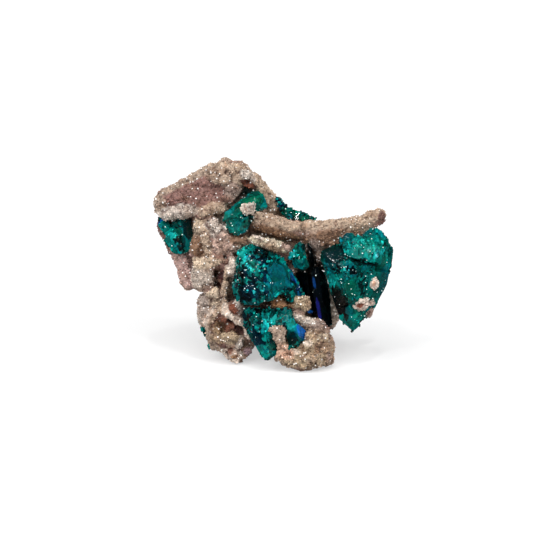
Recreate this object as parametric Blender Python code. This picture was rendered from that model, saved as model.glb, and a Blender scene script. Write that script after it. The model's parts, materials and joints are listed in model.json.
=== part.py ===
"""Dioptase crystals on a druse-coated matrix: a free-standing mineral specimen.

The specimen is described as its best side shows it, in millimetres: across to the right, away from
the viewer, and up. The whole then leans back by LEAN, is cut flat where it rests, and is centred
over its footprint.
"""

import math
from collections import namedtuple

import bmesh
import bpy
from mathutils import Matrix, Vector, noise

MM = 0.001
LEAN = math.radians(15)
FLOOR_LEVEL = 1.1
JOINT_GAP = 0.3
VOXEL = 0.5
MATRIX_TRIANGLES = 4800
GRIT = 0.07

Chunk = namedtuple("Chunk", "across away up wide deep tall roll roundness", defaults=(0, 0.75))
Ridge = namedtuple("Ridge", "points radii")

CORE = (
    Chunk(-9.6, 7.2, 27.0, 7.6, 7.0, 8.8),
    Chunk(-0.6, 6.8, 21.0, 8.8, 6.6, 9.6),
    Chunk(-8.8, 7.4, 12.6, 4.6, 6.2, 8.0),
    Chunk(4.0, 6.8, 9.6, 8.0, 6.0, 7.0),
    Chunk(-17.4, 5.6, 27.0, 4.0, 4.4, 6.0, 16),
    Chunk(-4.0, 6.6, 32.6, 5.4, 5.0, 4.4),
    Chunk(2.4, 6.4, 29.6, 4.6, 2.6, 2.0, -18),
)
UPPER_SLAB = (
    Chunk(-13.3, 4.6, 36.0, 7.6, 6.4, 4.0, 28, 0.4),
    Chunk(-19.7, 3.6, 33.3, 3.4, 4.8, 3.3, 34, 0.7),
    Chunk(-7.6, 4.8, 38.5, 3.3, 5.4, 3.5, -8, 0.6),
    Chunk(-4.4, 4.6, 37.2, 3.1, 4.6, 2.6, -38, 0.6),
    Chunk(-1.1, 4.8, 34.4, 4.2, 3.4, 1.6, -46, 0.6),
    Chunk(-10.0, -0.9, 39.6, 1.3, 1.5, 1.0),
    Chunk(-7.8, -0.9, 39.5, 1.2, 1.5, 1.1),
    Chunk(-11.6, -1.0, 38.0, 1.2, 1.4, 1.0, 20),
    Chunk(-9.2, -1.4, 37.9, 1.3, 1.5, 1.2),
    Chunk(-7.5, -1.2, 36.4, 1.4, 1.6, 1.6),
    Chunk(-8.7, -1.4, 34.4, 1.1, 1.6, 1.2, 0, 0.9),
    Chunk(-6.2, -0.4, 38.5, 1.3, 1.5, 1.1),
    Chunk(-4.4, 0.2, 38.4, 1.5, 1.7, 1.0, -30),
    Chunk(-2.8, 0.8, 37.2, 1.5, 1.7, 1.0, -40),
    Chunk(-0.8, 1.4, 35.0, 1.9, 1.6, 1.1, -52),
    Chunk(-20.4, -0.9, 34.6, 1.3, 1.4, 1.0),
    Chunk(-18.4, -1.3, 34.0, 1.1, 1.2, 1.0),
    Chunk(-21.8, -0.4, 33.2, 1.2, 1.6, 1.1),
)
LEFT_LEDGES = (
    Chunk(-22.0, 0.2, 32.0, 1.0, 1.6, 1.0),
    Chunk(-20.8, -0.9, 30.9, 1.3, 1.7, 0.9),
    Chunk(-18.9, -1.6, 31.3, 1.3, 1.6, 1.0, -8),
    Chunk(-17.0, -2.2, 31.5, 1.3, 1.7, 1.3, 0, 0.6),
    Chunk(-21.2, 0.6, 29.8, 1.2, 1.6, 1.0),
    Chunk(-21.4, 1.8, 27.9, 0.9, 2.4, 2.2, 20),
    Chunk(-10.6, -1.6, 32.4, 2.0, 1.9, 0.9, 8, 0.5),
    Chunk(-13.2, -1.8, 31.0, 1.9, 1.8, 0.8, 24, 0.5),
    Chunk(-13.8, -1.2, 28.3, 1.4, 2.2, 1.9, 14, 0.5),
    Chunk(-11.4, -2.0, 28.7, 1.4, 2.0, 1.5, 0, 0.6),
    Chunk(-9.9, -2.4, 26.7, 1.7, 2.0, 2.0),
    Chunk(-14.6, -1.0, 24.6, 1.5, 2.2, 2.3, -6, 0.65),
    Chunk(-12.5, -2.0, 25.4, 0.8, 2.0, 2.8, 8, 0.6),
    Chunk(-10.8, -2.2, 24.2, 1.2, 1.9, 1.9, -8, 0.6),
    Chunk(-8.4, -1.8, 24.5, 1.5, 1.8, 1.5),
    Chunk(-6.6, -1.2, 25.5, 2.2, 1.8, 1.1, 10),
)
LOWER_LEFT = (
    Chunk(-17.4, 2.8, 21.6, 1.7, 2.6, 2.2, 16),
    Chunk(-16.9, 2.6, 18.2, 1.3, 2.2, 2.4, 16),
    Chunk(-15.2, 4.4, 19.6, 2.2, 3.0, 3.4, 16),
    Chunk(-9.5, 0.9, 17.6, 1.1, 2.4, 3.2),
    Chunk(-13.5, -1.2, 18.3, 2.2, 2.4, 2.6),
    Chunk(-12.2, -2.0, 21.2, 3.0, 2.0, 1.0, 8, 0.5),
    Chunk(-7.7, -2.8, 20.6, 1.3, 1.8, 1.9),
    Chunk(-11.3, -0.8, 14.2, 1.6, 2.0, 1.7),
    Chunk(-13.4, 0.8, 12.4, 1.2, 2.2, 2.8, 0, 0.8),
    Chunk(-10.6, 0.8, 11.6, 2.0, 2.4, 1.6),
    Chunk(-11.2, 1.4, 7.6, 1.3, 2.4, 2.6),
    Chunk(-7.2, -1.4, 12.2, 1.7, 1.9, 1.4),
    Chunk(-8.0, -1.0, 5.7, 2.0, 2.2, 1.1, -6, 0.6),
    Chunk(-7.0, 0.8, 3.1, 2.1, 2.0, 1.9),
    Chunk(-4.3, 1.2, 3.8, 1.0, 1.6, 0.9),
    Chunk(-13.6, 1.6, 9.7, 0.9, 1.8, 1.3),
    Chunk(-4.4, 4.0, 6.4, 1.6, 2.4, 2.6),
    Chunk(-10.0, 2.6, 4.8, 2.2, 2.2, 1.2, -16),
)
LOWER_LEFT_RIDGES = (
    Ridge(((-18.4, 1.4, 21.0), (-17.6, 1.0, 18.6), (-16.4, 0.9, 16.6)), (0.8, 0.7, 0.7)),
    Ridge(
        ((-9.8, -2.0, 21.6), (-9.1, -2.4, 17.2), (-9.0, -2.2, 14.6), (-9.9, -1.9, 12.0)),
        (0.7, 0.6, 0.55, 0.6),
    ),
    Ridge(
        ((-9.9, -1.9, 12.0), (-12.0, -1.6, 10.3), (-12.5, -0.8, 8.6), (-11.7, -0.6, 6.2)),
        (0.6, 0.65, 0.65, 0.65),
    ),
    Ridge(((-11.7, -0.6, 6.2), (-10.6, 0.2, 4.8), (-9.0, 0.4, 4.0)), (0.65, 0.75, 0.7)),
    Ridge(
        ((-9.8, -1.9, 12.0), (-7.4, -2.0, 10.6), (-5.2, -1.7, 8.9), (-4.2, -0.8, 6.2)),
        (0.6, 0.7, 0.6, 0.45),
    ),
)
TUBE_AND_PLATE = (
    Chunk(-2.6, -2.0, 31.2, 1.6, 1.5, 1.2, 0, 0.8),
    Chunk(-4.6, -3.0, 31.6, 1.4, 1.3, 1.3, 0, 0.8),
    Chunk(0.2, -3.2, 25.0, 4.6, 2.4, 0.8, -17, 0.5),
)
TUBE_AND_FIN_RIDGES = (
    Ridge(((-2.0, -1.2, 29.8), (1.4, -1.5, 28.7), (4.9, -1.1, 27.9)), (1.9, 1.95, 1.8)),
    Ridge(
        ((7.5, 0.6, 27.7), (10.4, 0.9, 27.7), (14.5, 1.2, 28.3), (18.6, 1.8, 29.3), (21.8, 2.2, 30.6)),
        (2.15, 2.1, 1.8, 1.7, 1.75),
    ),
    Ridge(
        ((8.4, 1.0, 26.2), (11.2, 1.2, 26.0), (14.4, 1.8, 26.6), (18.4, 2.2, 27.6)),
        (2.0, 1.8, 1.5, 1.4),
    ),
    Ridge(((8.4, 1.0, 26.0), (9.2, 1.2, 23.8), (9.4, 1.8, 21.4)), (1.9, 1.4, 0.8)),
    Ridge(
        ((12.6, 3.4, 15.6), (13.3, 3.4, 12.2), (13.0, 3.2, 10.2), (12.3, 2.8, 8.6)),
        (1.0, 1.3, 1.2, 0.9),
    ),
)
KNOB = (
    Chunk(7.6, -2.6, 4.3, 5.2, 3.9, 4.5, 8, 0.85),
    Chunk(9.0, -3.6, 8.8, 1.8, 2.4, 1.4),
    Chunk(7.4, -3.6, 2.4, 4.4, 3.4, 2.6, 8, 0.85),
    Chunk(3.2, -4.4, 2.2, 2.5, 2.2, 1.2, -20),
    Chunk(6.2, -4.4, 13.5, 1.8, 1.8, 1.4, 0, 0.6),
    Chunk(5.8, -3.4, 11.3, 1.0, 1.6, 1.4),
    Chunk(6.7, -3.6, 9.9, 1.9, 1.8, 0.8, -14),
    Chunk(9.6, -2.6, 8.9, 1.7, 1.9, 1.2, -10),
    Chunk(1.3, -6.4, 7.2, 2.0, 1.5, 2.1),
    Chunk(2.4, -5.6, 4.8, 1.2, 1.7, 1.4),
    Chunk(2.2, -2.6, 13.2, 2.6, 2.2, 1.2, 6),
)
BACK_AND_FEET = (
    Chunk(-7.2, 12.0, 6.2, 3.4, 4.6, 4.6, 0, 0.55),
    Chunk(4.6, 12.0, 7.0, 5.4, 4.6, 4.8, 0, 0.5),
    Chunk(-11.6, 11.4, 30.0, 5.4, 4.2, 5.0, 12, 0.6),
    Chunk(-2.0, 13.0, 24.6, 5.2, 4.6, 5.4, -10, 0.6),
    Chunk(-6.4, 13.4, 16.0, 4.4, 4.4, 5.0, 18, 0.65),
    Chunk(4.4, 12.0, 15.6, 4.0, 4.2, 4.6, 0, 0.6),
    Chunk(-15.2, 10.0, 24.0, 3.2, 3.8, 3.8, 0, 0.7),
    Chunk(-13.0, 9.8, 35.6, 5.2, 3.2, 2.8, 28, 0.5),
    Chunk(15.6, 3.6, 21.4, 3.4, 2.6, 5.6, -8, 0.7),
    Chunk(11.2, 5.6, 23.4, 3.6, 3.0, 3.6, 0, 0.7),
    Chunk(18.2, 1.6, 14.2, 2.2, 2.0, 2.2, 20, 0.8),
    Chunk(11.3, 5.2, 12.4, 1.7, 2.8, 4.4, 0, 0.7),
    Chunk(-15.6, 12.6, 32.4, 2.6, 2.4, 2.2, 30),
    Chunk(-6.6, 14.6, 27.4, 2.2, 2.2, 2.4),
    Chunk(-12.4, 14.2, 24.4, 2.4, 2.2, 1.8, -12),
    Chunk(1.8, 15.4, 21.4, 2.2, 2.0, 2.2),
    Chunk(-2.8, 16.4, 18.6, 2.0, 1.8, 1.8, 24),
    Chunk(-9.4, 16.2, 12.4, 2.2, 2.0, 2.0),
    Chunk(7.6, 14.4, 11.4, 2.2, 2.4, 1.8, -18),
    Chunk(1.4, 15.2, 10.4, 2.4, 2.2, 2.0, 10),
    Chunk(-1.6, 12.4, 34.2, 2.2, 2.2, 1.8, -30),
)

RIGHT_BLOCKS = (
    (
        (10.8, -2.6, 20.4), (12.4, -4.6, 21.6), (15.4, -5.6, 21.8), (19.0, -5.9, 21.4), (22.6, -4.4, 21.0),
        (24.0, -1.2, 20.6), (23.7, -1.0, 18.8), (18.8, -5.9, 19.2), (14.6, -5.5, 19.4), (11.0, -2.6, 18.8),
        (13.0, 1.0, 23.4), (22.6, 1.4, 23.0), (21.6, 1.2, 16.0), (14.2, 0.8, 15.6),
    ),
    (
        (9.9, -2.8, 23.6), (12.9, -3.2, 25.1), (14.9, -3.8, 24.9), (15.4, -5.8, 22.5), (12.6, -5.0, 21.2),
        (10.7, -3.0, 20.3), (10.0, -2.4, 21.9), (13.6, 0.6, 24.0), (10.8, 0.4, 22.8), (12.0, 0.6, 20.6),
        (15.6, 0.6, 22.0),
    ),
    (
        (13.6, -4.0, 26.2), (16.9, -4.0, 26.6), (23.4, -3.4, 26.2), (24.5, -1.6, 24.0), (24.2, -0.8, 20.6),
        (21.8, -6.2, 21.0), (18.9, -6.9, 21.6), (15.2, -6.3, 22.6), (22.9, -4.4, 22.4), (17.6, -5.4, 25.6),
        (21.6, -5.0, 25.6), (14.6, 0.6, 25.4), (22.8, 1.2, 24.8), (22.6, 1.2, 21.4), (15.6, 0.8, 22.8),
    ),
    (
        (13.7, -4.2, 25.0), (14.8, -3.6, 27.1), (16.1, -3.4, 27.5), (17.3, -3.6, 26.4), (14.6, -5.6, 24.6),
        (16.9, -5.6, 25.0), (14.6, -0.4, 26.0), (16.8, -0.4, 26.0),
    ),
    (
        (18.2, -3.6, 26.5), (18.9, -3.4, 27.7), (20.2, -3.2, 28.5), (21.9, -3.0, 28.0), (23.4, -2.8, 26.2),
        (18.6, -5.8, 24.9), (22.7, -5.2, 24.9), (20.6, -5.6, 26.4), (18.8, -0.4, 26.6), (22.8, -0.4, 26.2),
    ),
    (
        (10.9, -3.0, 19.7), (14.8, -6.3, 19.6), (18.9, -6.8, 19.9), (22.4, -5.6, 19.5), (23.9, -1.6, 19.5),
        (23.4, -1.2, 17.0), (22.2, -1.4, 14.6), (21.4, -1.6, 13.2), (20.6, -1.8, 11.9), (21.0, -4.9, 16.0),
        (18.9, -5.8, 14.2), (16.2, -6.4, 14.0), (13.6, -4.4, 15.6), (11.8, -3.0, 15.9), (13.1, -2.4, 12.1),
        (17.9, -3.6, 10.6), (12.6, 0.8, 18.6), (22.4, 1.2, 18.6), (20.8, 1.0, 14.2), (14.2, 0.8, 13.2),
    ),
    (
        (13.0, -2.6, 12.4), (14.1, -2.2, 9.5), (16.5, -2.4, 7.5), (18.9, -2.4, 10.1), (20.4, -2.0, 12.2),
        (15.2, -4.8, 12.6), (17.2, -5.2, 12.4), (16.2, -4.8, 9.4), (18.6, -4.2, 12.2), (14.6, 0.6, 12.8),
        (19.0, 0.6, 12.8), (16.6, 0.2, 9.4),
    ),
)
CENTRE_BLOCKS = (
    (
        (-0.9, -7.0, 21.7), (3.8, -5.6, 20.2), (5.9, -5.0, 16.4), (2.2, -6.5, 15.1), (-1.6, -7.8, 13.6),
        (-4.4, -6.8, 17.0), (2.2, -4.8, 22.4), (4.4, -0.6, 19.6), (5.2, -0.8, 16.0), (-0.6, 1.6, 21.4),
        (-1.4, 1.4, 14.6), (2.6, 1.2, 15.8),
    ),
    (
        (3.2, -5.6, 20.2), (4.6, -4.8, 18.8), (6.8, -4.4, 14.7), (4.3, -5.0, 13.6), (3.4, -5.4, 13.8),
        (2.4, -6.2, 15.4), (3.4, -0.6, 19.4), (6.6, -1.0, 15.0), (3.6, 0.2, 14.4),
    ),
    (
        (-6.6, -3.8, 23.8), (-4.0, -3.8, 25.2), (-1.6, -4.0, 24.5), (1.8, -4.2, 22.8), (-5.6, -5.4, 21.6),
        (-1.2, -6.4, 21.8), (-4.0, -6.6, 19.0), (0.6, -6.0, 19.6), (-5.8, 0.8, 22.6), (1.2, 1.2, 21.8),
        (-4.4, 1.2, 18.0),
    ),
    (
        (-7.2, -3.8, 18.8), (-7.4, -4.0, 16.2), (-6.8, -4.2, 14.1), (-5.4, -4.8, 13.2), (-2.2, -6.2, 13.1),
        (-5.6, -6.2, 20.0), (-2.4, -7.2, 19.2), (-2.2, -7.6, 15.0), (-5.9, -6.4, 15.8), (-6.2, 1.0, 18.6),
        (-5.4, 1.0, 14.6), (-1.2, 1.2, 14.4), (-1.4, 1.2, 18.6),
    ),
    (
        (-6.9, -3.4, 21.6), (-6.0, -4.8, 22.2), (-4.6, -6.0, 21.4), (-4.8, -6.4, 19.0), (-6.4, -4.6, 18.6),
        (-5.8, 0.6, 21.0), (-4.6, 0.6, 19.4),
    ),
)
LOWER_BLOCKS = (
    (
        (-5.3, -4.6, 12.4), (-2.0, -5.6, 12.5), (-5.6, -4.2, 10.8), (-5.0, -4.2, 8.4), (-3.6, -4.4, 5.6),
        (-2.2, -5.4, 8.4), (0.2, -6.6, 11.6), (0.6, -6.8, 7.2), (-3.4, -6.8, 10.4), (-4.6, -0.6, 11.0),
        (-0.4, -0.4, 11.2), (-2.8, -0.6, 6.6), (0.8, -0.6, 6.4),
    ),
    (
        (-3.8, -5.2, 6.2), (-1.7, -5.0, 2.6), (-0.6, -4.8, 1.9), (1.6, -5.0, 3.2), (1.9, -5.4, 5.2),
        (-2.6, -7.2, 7.0), (-0.2, -7.6, 7.4), (-0.9, -7.2, 3.9), (-2.2, -1.0, 5.6), (1.2, -1.2, 6.6),
        (0.6, -1.6, 3.6),
    ),
    (
        (-0.6, -6.0, 12.3), (2.2, -5.6, 12.3), (4.1, -5.0, 12.0), (5.2, -4.8, 9.4), (0.0, -6.8, 9.2),
        (3.6, -6.4, 9.0), (-0.4, -0.6, 11.6), (4.2, -0.4, 11.2), (3.8, -0.6, 8.4), (0.2, -0.6, 8.0),
    ),
    (
        (3.4, -6.6, 9.6), (5.6, -6.2, 9.4), (7.3, -4.8, 7.8), (6.8, -4.6, 5.6), (4.0, -5.4, 4.1),
        (3.2, -6.8, 6.4), (5.6, -6.6, 6.6), (3.6, -1.0, 8.8), (6.6, -1.2, 7.6), (4.2, -1.4, 5.0),
    ),
)
SMALL_BLOCKS = (
    (
        (3.5, -3.2, 23.1), (4.7, -4.4, 24.5), (5.9, -3.2, 25.6), (6.8, -2.6, 25.0), (7.2, -2.8, 22.4),
        (5.0, -5.0, 22.6), (3.7, -3.4, 21.9), (6.2, 0.8, 24.6), (4.4, 0.6, 22.6), (7.0, 0.2, 21.8),
    ),
    (
        (4.2, -3.6, 22.4), (7.3, -3.4, 22.3), (7.8, -3.0, 20.5), (6.6, -3.0, 19.8), (4.7, -3.0, 20.3),
        (6.2, -4.9, 21.6), (5.0, -0.4, 22.0), (7.4, -0.2, 21.0), (5.4, -0.6, 20.4),
    ),
)
DARK_BLOCKS = (
    (
        (8.0, -1.2, 20.4), (9.6, -1.8, 20.6), (11.0, -1.2, 19.4), (12.1, -0.6, 14.0), (12.4, -0.2, 9.0),
        (10.6, -0.6, 8.0), (9.8, -1.8, 9.6), (8.6, -2.0, 14.6), (10.4, -2.2, 14.4), (8.0, 4.0, 19.6),
        (11.6, 4.2, 18.8), (11.8, 3.6, 9.4), (8.2, 3.6, 11.0),
    ),
    (
        (5.2, 0.4, 19.2), (7.4, -1.0, 19.4), (8.4, -0.4, 16.0), (8.6, -0.6, 11.4), (7.6, -0.4, 11.2),
        (7.4, -0.6, 14.0), (5.4, 3.6, 18.8), (8.8, 4.0, 18.6), (8.8, 3.4, 11.6), (6.6, 3.6, 12.4),
    ),
    (
        (7.5, -0.6, 25.5), (8.4, -0.6, 24.4), (9.0, -0.2, 21.6), (8.3, -0.6, 19.0), (7.8, -1.0, 22.0),
        (7.4, 3.0, 24.6), (9.4, 3.4, 21.6), (8.0, 3.2, 18.8),
    ),
)
UPPER_BLOCKS = (
    (
        (-9.5, -2.6, 29.4), (-9.2, -2.8, 31.4), (-7.0, -3.0, 32.9), (-5.0, -2.8, 34.3), (-3.6, -2.6, 35.5),
        (-2.4, -2.6, 35.7), (-1.4, -2.4, 35.1), (-0.8, -2.2, 33.8), (-0.6, -2.2, 32.5), (-1.8, -3.4, 31.9),
        (-6.6, -4.4, 30.2), (-4.6, -4.8, 32.4), (-2.4, -4.2, 33.4), (-8.2, -4.0, 30.4), (-8.4, 2.0, 30.6),
        (-1.4, 2.2, 33.6), (-3.8, 2.4, 34.4), (-5.2, 1.6, 30.0),
    ),
    (
        (-9.0, -2.8, 29.2), (-8.1, -3.0, 27.2), (-6.5, -3.0, 26.6), (-5.0, -2.8, 27.1), (-3.9, -2.8, 28.8),
        (-3.3, -3.0, 30.8), (-7.4, -4.5, 29.8), (-5.4, -4.9, 30.2), (-6.0, -4.6, 28.0), (-7.6, 1.4, 28.6),
        (-4.4, 1.4, 29.2), (-5.4, 1.6, 31.2),
    ),
)
LEFT_BLOCKS = (
    (
        (-19.6, -0.6, 29.4), (-18.0, -1.0, 30.2), (-15.8, -0.8, 30.0), (-15.3, -0.8, 26.9),
        (-15.9, -1.2, 23.6), (-17.4, -1.4, 23.0), (-18.0, -2.0, 25.8), (-19.4, -1.6, 27.6),
        (-19.0, 2.6, 28.6), (-16.0, 2.6, 28.8), (-16.4, 2.6, 24.4),
    ),
    (
        (-21.4, -1.2, 25.9), (-20.1, -2.4, 27.5), (-18.2, -3.0, 27.1), (-17.5, -2.8, 24.7),
        (-17.4, -1.8, 22.9), (-19.2, -1.8, 23.1), (-20.4, -1.2, 24.4), (-18.6, -3.4, 25.6),
        (-19.8, 1.6, 25.8), (-17.8, 1.8, 25.0),
    ),
    (
        (-22.5, 0.2, 30.6), (-21.4, -0.8, 30.2), (-20.2, -1.2, 28.4), (-19.4, -1.4, 27.2),
        (-21.3, -0.8, 27.4), (-22.3, 0.0, 28.8), (-21.6, 2.2, 29.4), (-18.2, 1.6, 28.2),
        (-19.0, 0.6, 26.0),
    ),
)
RIDGE_BLOCKS = (
    (
        (1.0, 2.4, 34.8), (2.0, 2.6, 34.7), (4.4, 2.8, 32.2), (4.1, 2.4, 31.4), (2.4, 2.0, 32.2),
        (1.3, 1.8, 33.5), (2.0, 5.0, 33.6), (4.0, 4.8, 31.8),
    ),
    (
        (1.8, 2.0, 32.1), (3.0, 1.2, 32.3), (4.6, 1.4, 31.8), (6.8, 1.8, 31.6), (8.2, 2.2, 30.6),
        (9.4, 2.8, 30.2), (7.0, 1.8, 29.8), (5.4, 1.0, 29.9), (3.4, 1.0, 30.4), (2.6, 4.8, 31.4),
        (7.6, 4.6, 30.6), (4.4, 4.8, 30.0),
    ),
)
EDGE_BLOCKS = (
    (
        (-14.1, 2.0, 8.5), (-13.2, 1.2, 8.7), (-12.8, 1.6, 7.4), (-13.8, 2.2, 7.5), (-12.8, 3.2, 8.0),
        (-12.0, 2.2, 8.0),
    ),
    (
        (-13.4, 2.2, 7.6), (-12.6, 1.4, 7.7), (-12.2, 1.8, 6.4), (-13.1, 2.6, 6.5), (-12.2, 3.4, 7.0),
        (-11.6, 2.2, 7.0),
    ),
    (
        (-12.7, 2.4, 6.6), (-12.0, 1.6, 6.8), (-11.3, 2.0, 5.4), (-12.2, 2.8, 5.4), (-11.4, 3.4, 6.4),
        (-10.9, 2.2, 6.2),
    ),
    (
        (-12.1, 2.6, 5.5), (-11.4, 1.8, 5.8), (-10.9, 2.2, 4.4), (-11.7, 2.8, 4.4), (-10.8, 3.4, 5.2),
        (-10.2, 2.4, 5.2),
    ),
)

Prism = namedtuple("Prism", "base tip radius spin")
REAR_UPPER = (
    Prism((-8.0, 10.0, 31.0), (-9.2, 17.4, 34.4), 2.6, 10),
    Prism((-5.2, 10.0, 31.4), (-3.6, 16.6, 33.0), 2.1, 35),
    Prism((-10.0, 10.0, 28.8), (-12.6, 16.2, 29.2), 1.9, 50),
)
REAR_LOWER = (
    Prism((3.0, 10.0, 19.0), (6.4, 17.6, 20.6), 2.5, 20),
    Prism((1.6, 10.0, 16.4), (1.0, 17.4, 15.6), 1.9, 0),
)
REAR_SIDE = (
    Prism((-9.4, 12.0, 10.6), (-13.0, 16.0, 13.4), 1.8, 15),
    Prism((-8.6, 13.0, 9.6), (-9.8, 17.6, 9.0), 1.4, 40),
)


def lean_back(mesh):
    """Turns a mesh from the display frame, in millimetres, to how the specimen stands."""
    mesh.transform(Matrix.Translation((0, 0, -FLOOR_LEVEL)) @ Matrix.Rotation(-LEAN, 4, "X"))


def new_object(name, mesh):
    obj = bpy.data.objects.new(name, mesh)
    bpy.context.scene.collection.objects.link(obj)
    return obj


def mesh_from(bm, name):
    mesh = bpy.data.meshes.new(name)
    bm.to_mesh(mesh)
    bm.free()
    return mesh


def apply_modifiers(obj):
    """Replaces the object's mesh by what its modifiers make of it."""
    graph = bpy.context.evaluated_depsgraph_get()
    mesh = bpy.data.meshes.new_from_object(obj.evaluated_get(graph))
    obj.modifiers.clear()
    obj.data = mesh
    return obj


def cube_grid(cells=8):
    """Points and faces of a cube from -1 to 1 whose sides are divided into cells."""
    bm = bmesh.new()
    bmesh.ops.create_cube(bm, size=2)
    bmesh.ops.subdivide_edges(bm, edges=bm.edges[:], cuts=cells - 1, use_grid_fill=True)
    bm.verts.index_update()
    points = [v.co.copy() for v in bm.verts]
    faces = [[v.index for v in face.verts] for face in bm.faces]
    bm.free()
    return points, faces


def add_chunk(bm, grid, chunk):
    """A rounded block of stone, its faces roughened a little."""
    turn = Matrix.Rotation(-math.radians(chunk.roll), 3, "Y")
    centre = Vector((chunk.across, chunk.away, chunk.up))
    points, faces = grid
    made = []
    for point in points:
        shape = point.lerp(point.normalized(), chunk.roundness)
        shape = turn @ Vector((shape.x * chunk.wide, shape.y * chunk.deep, shape.z * chunk.tall))
        place = centre + shape
        push = noise.noise(place * 0.55) + 0.6 * noise.noise(place * 1.3)
        made.append(bm.verts.new(place + shape * (2 * GRIT * push)))
    for face in faces:
        bm.faces.new([made[i] for i in face])


def add_ridge(bm, ridge):
    """A rounded rib of stone along a line, made of balls close enough to merge."""
    for start, end, first, last in zip(ridge.points, ridge.points[1:], ridge.radii, ridge.radii[1:]):
        start, end = Vector(start), Vector(end)
        steps = max(2, math.ceil((end - start).length / (0.45 * min(first, last))))
        for i in range(steps + 1):
            share = i / steps
            place = Matrix.Translation(start.lerp(end, share))
            bmesh.ops.create_icosphere(
                bm, subdivisions=2, radius=first + (last - first) * share, matrix=place
            )


def hull(points):
    """A flat-faced crystal block: the convex body of its corners."""
    bm = bmesh.new()
    for point in points:
        bm.verts.new(point)
    made = bmesh.ops.convex_hull(bm, input=bm.verts)
    bmesh.ops.delete(bm, geom=made["geom_interior"], context="VERTS")
    bmesh.ops.recalc_face_normals(bm, faces=bm.faces)
    mesh = mesh_from(bm, "block")
    lean_back(mesh)
    return mesh


def swollen(points):
    """The corners of a block that stands the joint gap off the given one on every side."""
    gap = (-JOINT_GAP, JOINT_GAP)
    return [Vector(point) + Vector((x, y, z)) for point in points for x in gap for y in gap for z in gap]


def prism(crystal):
    """The corners of a six-sided dioptase prism that ends in the three faces of a rhombohedron."""
    base, tip = Vector(crystal.base), Vector(crystal.tip)
    length = (tip - base).length
    shoulder = 0.45 * crystal.radius
    corners = []
    for i in range(6):
        angle = math.radians(60 * i + crystal.spin)
        side = Vector((math.cos(angle), math.sin(angle), 0)) * crystal.radius
        drop = shoulder if i % 2 else 2.2 * shoulder
        corners += [side, side + Vector((0, 0, length - drop))]
    corners.append(Vector((0, 0, length)))
    turn = (tip - base).to_track_quat("Z", "Y")
    return [base + turn @ corner for corner in corners]


def crystal_group(name, blocks):
    """One closed crystal group out of blocks that grow through each other."""
    first, *rest = [new_object(f"{name}_{i}", hull(block)) for i, block in enumerate(blocks)]
    for other in rest:
        union = first.modifiers.new("union", "BOOLEAN")
        union.operation = "UNION"
        union.object = other
    apply_modifiers(first)
    for other in rest:
        bpy.data.objects.remove(other)
    first.name = name
    return first


def rough_stone():
    """All lumps of the matrix grown into one closed stone, before anything is cut from it."""
    bm = bmesh.new()
    grid = cube_grid()
    for chunk in CORE + UPPER_SLAB + LEFT_LEDGES + LOWER_LEFT + TUBE_AND_PLATE + KNOB + BACK_AND_FEET:
        add_chunk(bm, grid, chunk)
    for ridge in LOWER_LEFT_RIDGES + TUBE_AND_FIN_RIDGES:
        add_ridge(bm, ridge)
    stone = new_object("matrix", mesh_from(bm, "matrix"))
    grow = stone.modifiers.new("grow together", "REMESH")
    grow.mode = "VOXEL"
    grow.voxel_size = VOXEL
    soften = stone.modifiers.new("soften", "SMOOTH")
    soften.factor = 0.5
    soften.iterations = 1
    apply_modifiers(stone)
    stone.data.calc_loop_triangles()
    thin = stone.modifiers.new("thin", "DECIMATE")
    thin.ratio = MATRIX_TRIANGLES / len(stone.data.loop_triangles)
    apply_modifiers(stone)
    lean_back(stone.data)
    return stone


def pocket(block):
    """What the matrix leaves free for a block of crystal."""
    return new_object("pocket", hull(swollen(block)))


def floor_block():
    bm = bmesh.new()
    bmesh.ops.create_cube(bm, size=1)
    bmesh.ops.scale(bm, vec=(120, 120, 20), verts=bm.verts)
    bmesh.ops.translate(bm, vec=(0, 0, -10), verts=bm.verts)
    return new_object("floor_block", mesh_from(bm, "floor_block"))


def keep_largest_body(obj):
    """Drops the crumbs that the cuts leave loose."""
    bm = bmesh.new()
    bm.from_mesh(obj.data)
    left, bodies = set(bm.verts), []
    while left:
        body, todo = set(), [left.pop()]
        while todo:
            vert = todo.pop()
            body.add(vert)
            for edge in vert.link_edges:
                other = edge.other_vert(vert)
                if other in left:
                    left.discard(other)
                    todo.append(other)
        bodies.append(body)
    biggest = max(bodies, key=len)
    crumbs = [v for body in bodies if body is not biggest for v in body]
    bmesh.ops.delete(bm, geom=crumbs, context="VERTS")
    bm.to_mesh(obj.data)
    bm.free()


def cut_from(obj, cutters):
    """Takes all cutters out of the object in one go."""
    together = bpy.data.collections.new("cutters")
    for cutter in cutters:
        together.objects.link(cutter)
    cut = obj.modifiers.new("cut", "BOOLEAN")
    cut.operation = "DIFFERENCE"
    cut.operand_type = "COLLECTION"
    cut.collection = together
    apply_modifiers(obj)
    for cutter in cutters:
        bpy.data.objects.remove(cutter)
    bpy.data.collections.remove(together)
    keep_largest_body(obj)


def paint(obj, name, colour, roughness):
    """One Principled material, in the colour that the piece shows."""
    material = bpy.data.materials.get(name) or bpy.data.materials.new(name)
    material.use_nodes = True
    shader = material.node_tree.nodes["Principled BSDF"]
    shader.inputs["Base Color"].default_value = (*colour, 1)
    shader.inputs["Roughness"].default_value = roughness
    shader.inputs["Metallic"].default_value = 0
    obj.data.materials.clear()
    obj.data.materials.append(material)


def centre_on_footprint(objects):
    """Puts the origin under the middle of the whole and scales millimetres to metres."""
    corners = [v.co for obj in objects for v in obj.data.vertices]
    low = Vector([min(c[i] for c in corners) for i in range(3)])
    high = Vector([max(c[i] for c in corners) for i in range(3)])
    shift = Vector((-(low.x + high.x) / 2, -(low.y + high.y) / 2, -low.z))
    for obj in objects:
        obj.data.transform(Matrix.Scale(MM, 4) @ Matrix.Translation(shift))
    print("footprint shift, mm:", [round(x, 3) for x in shift])


def clear_scene():
    for obj in list(bpy.data.objects):
        bpy.data.objects.remove(obj)


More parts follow.
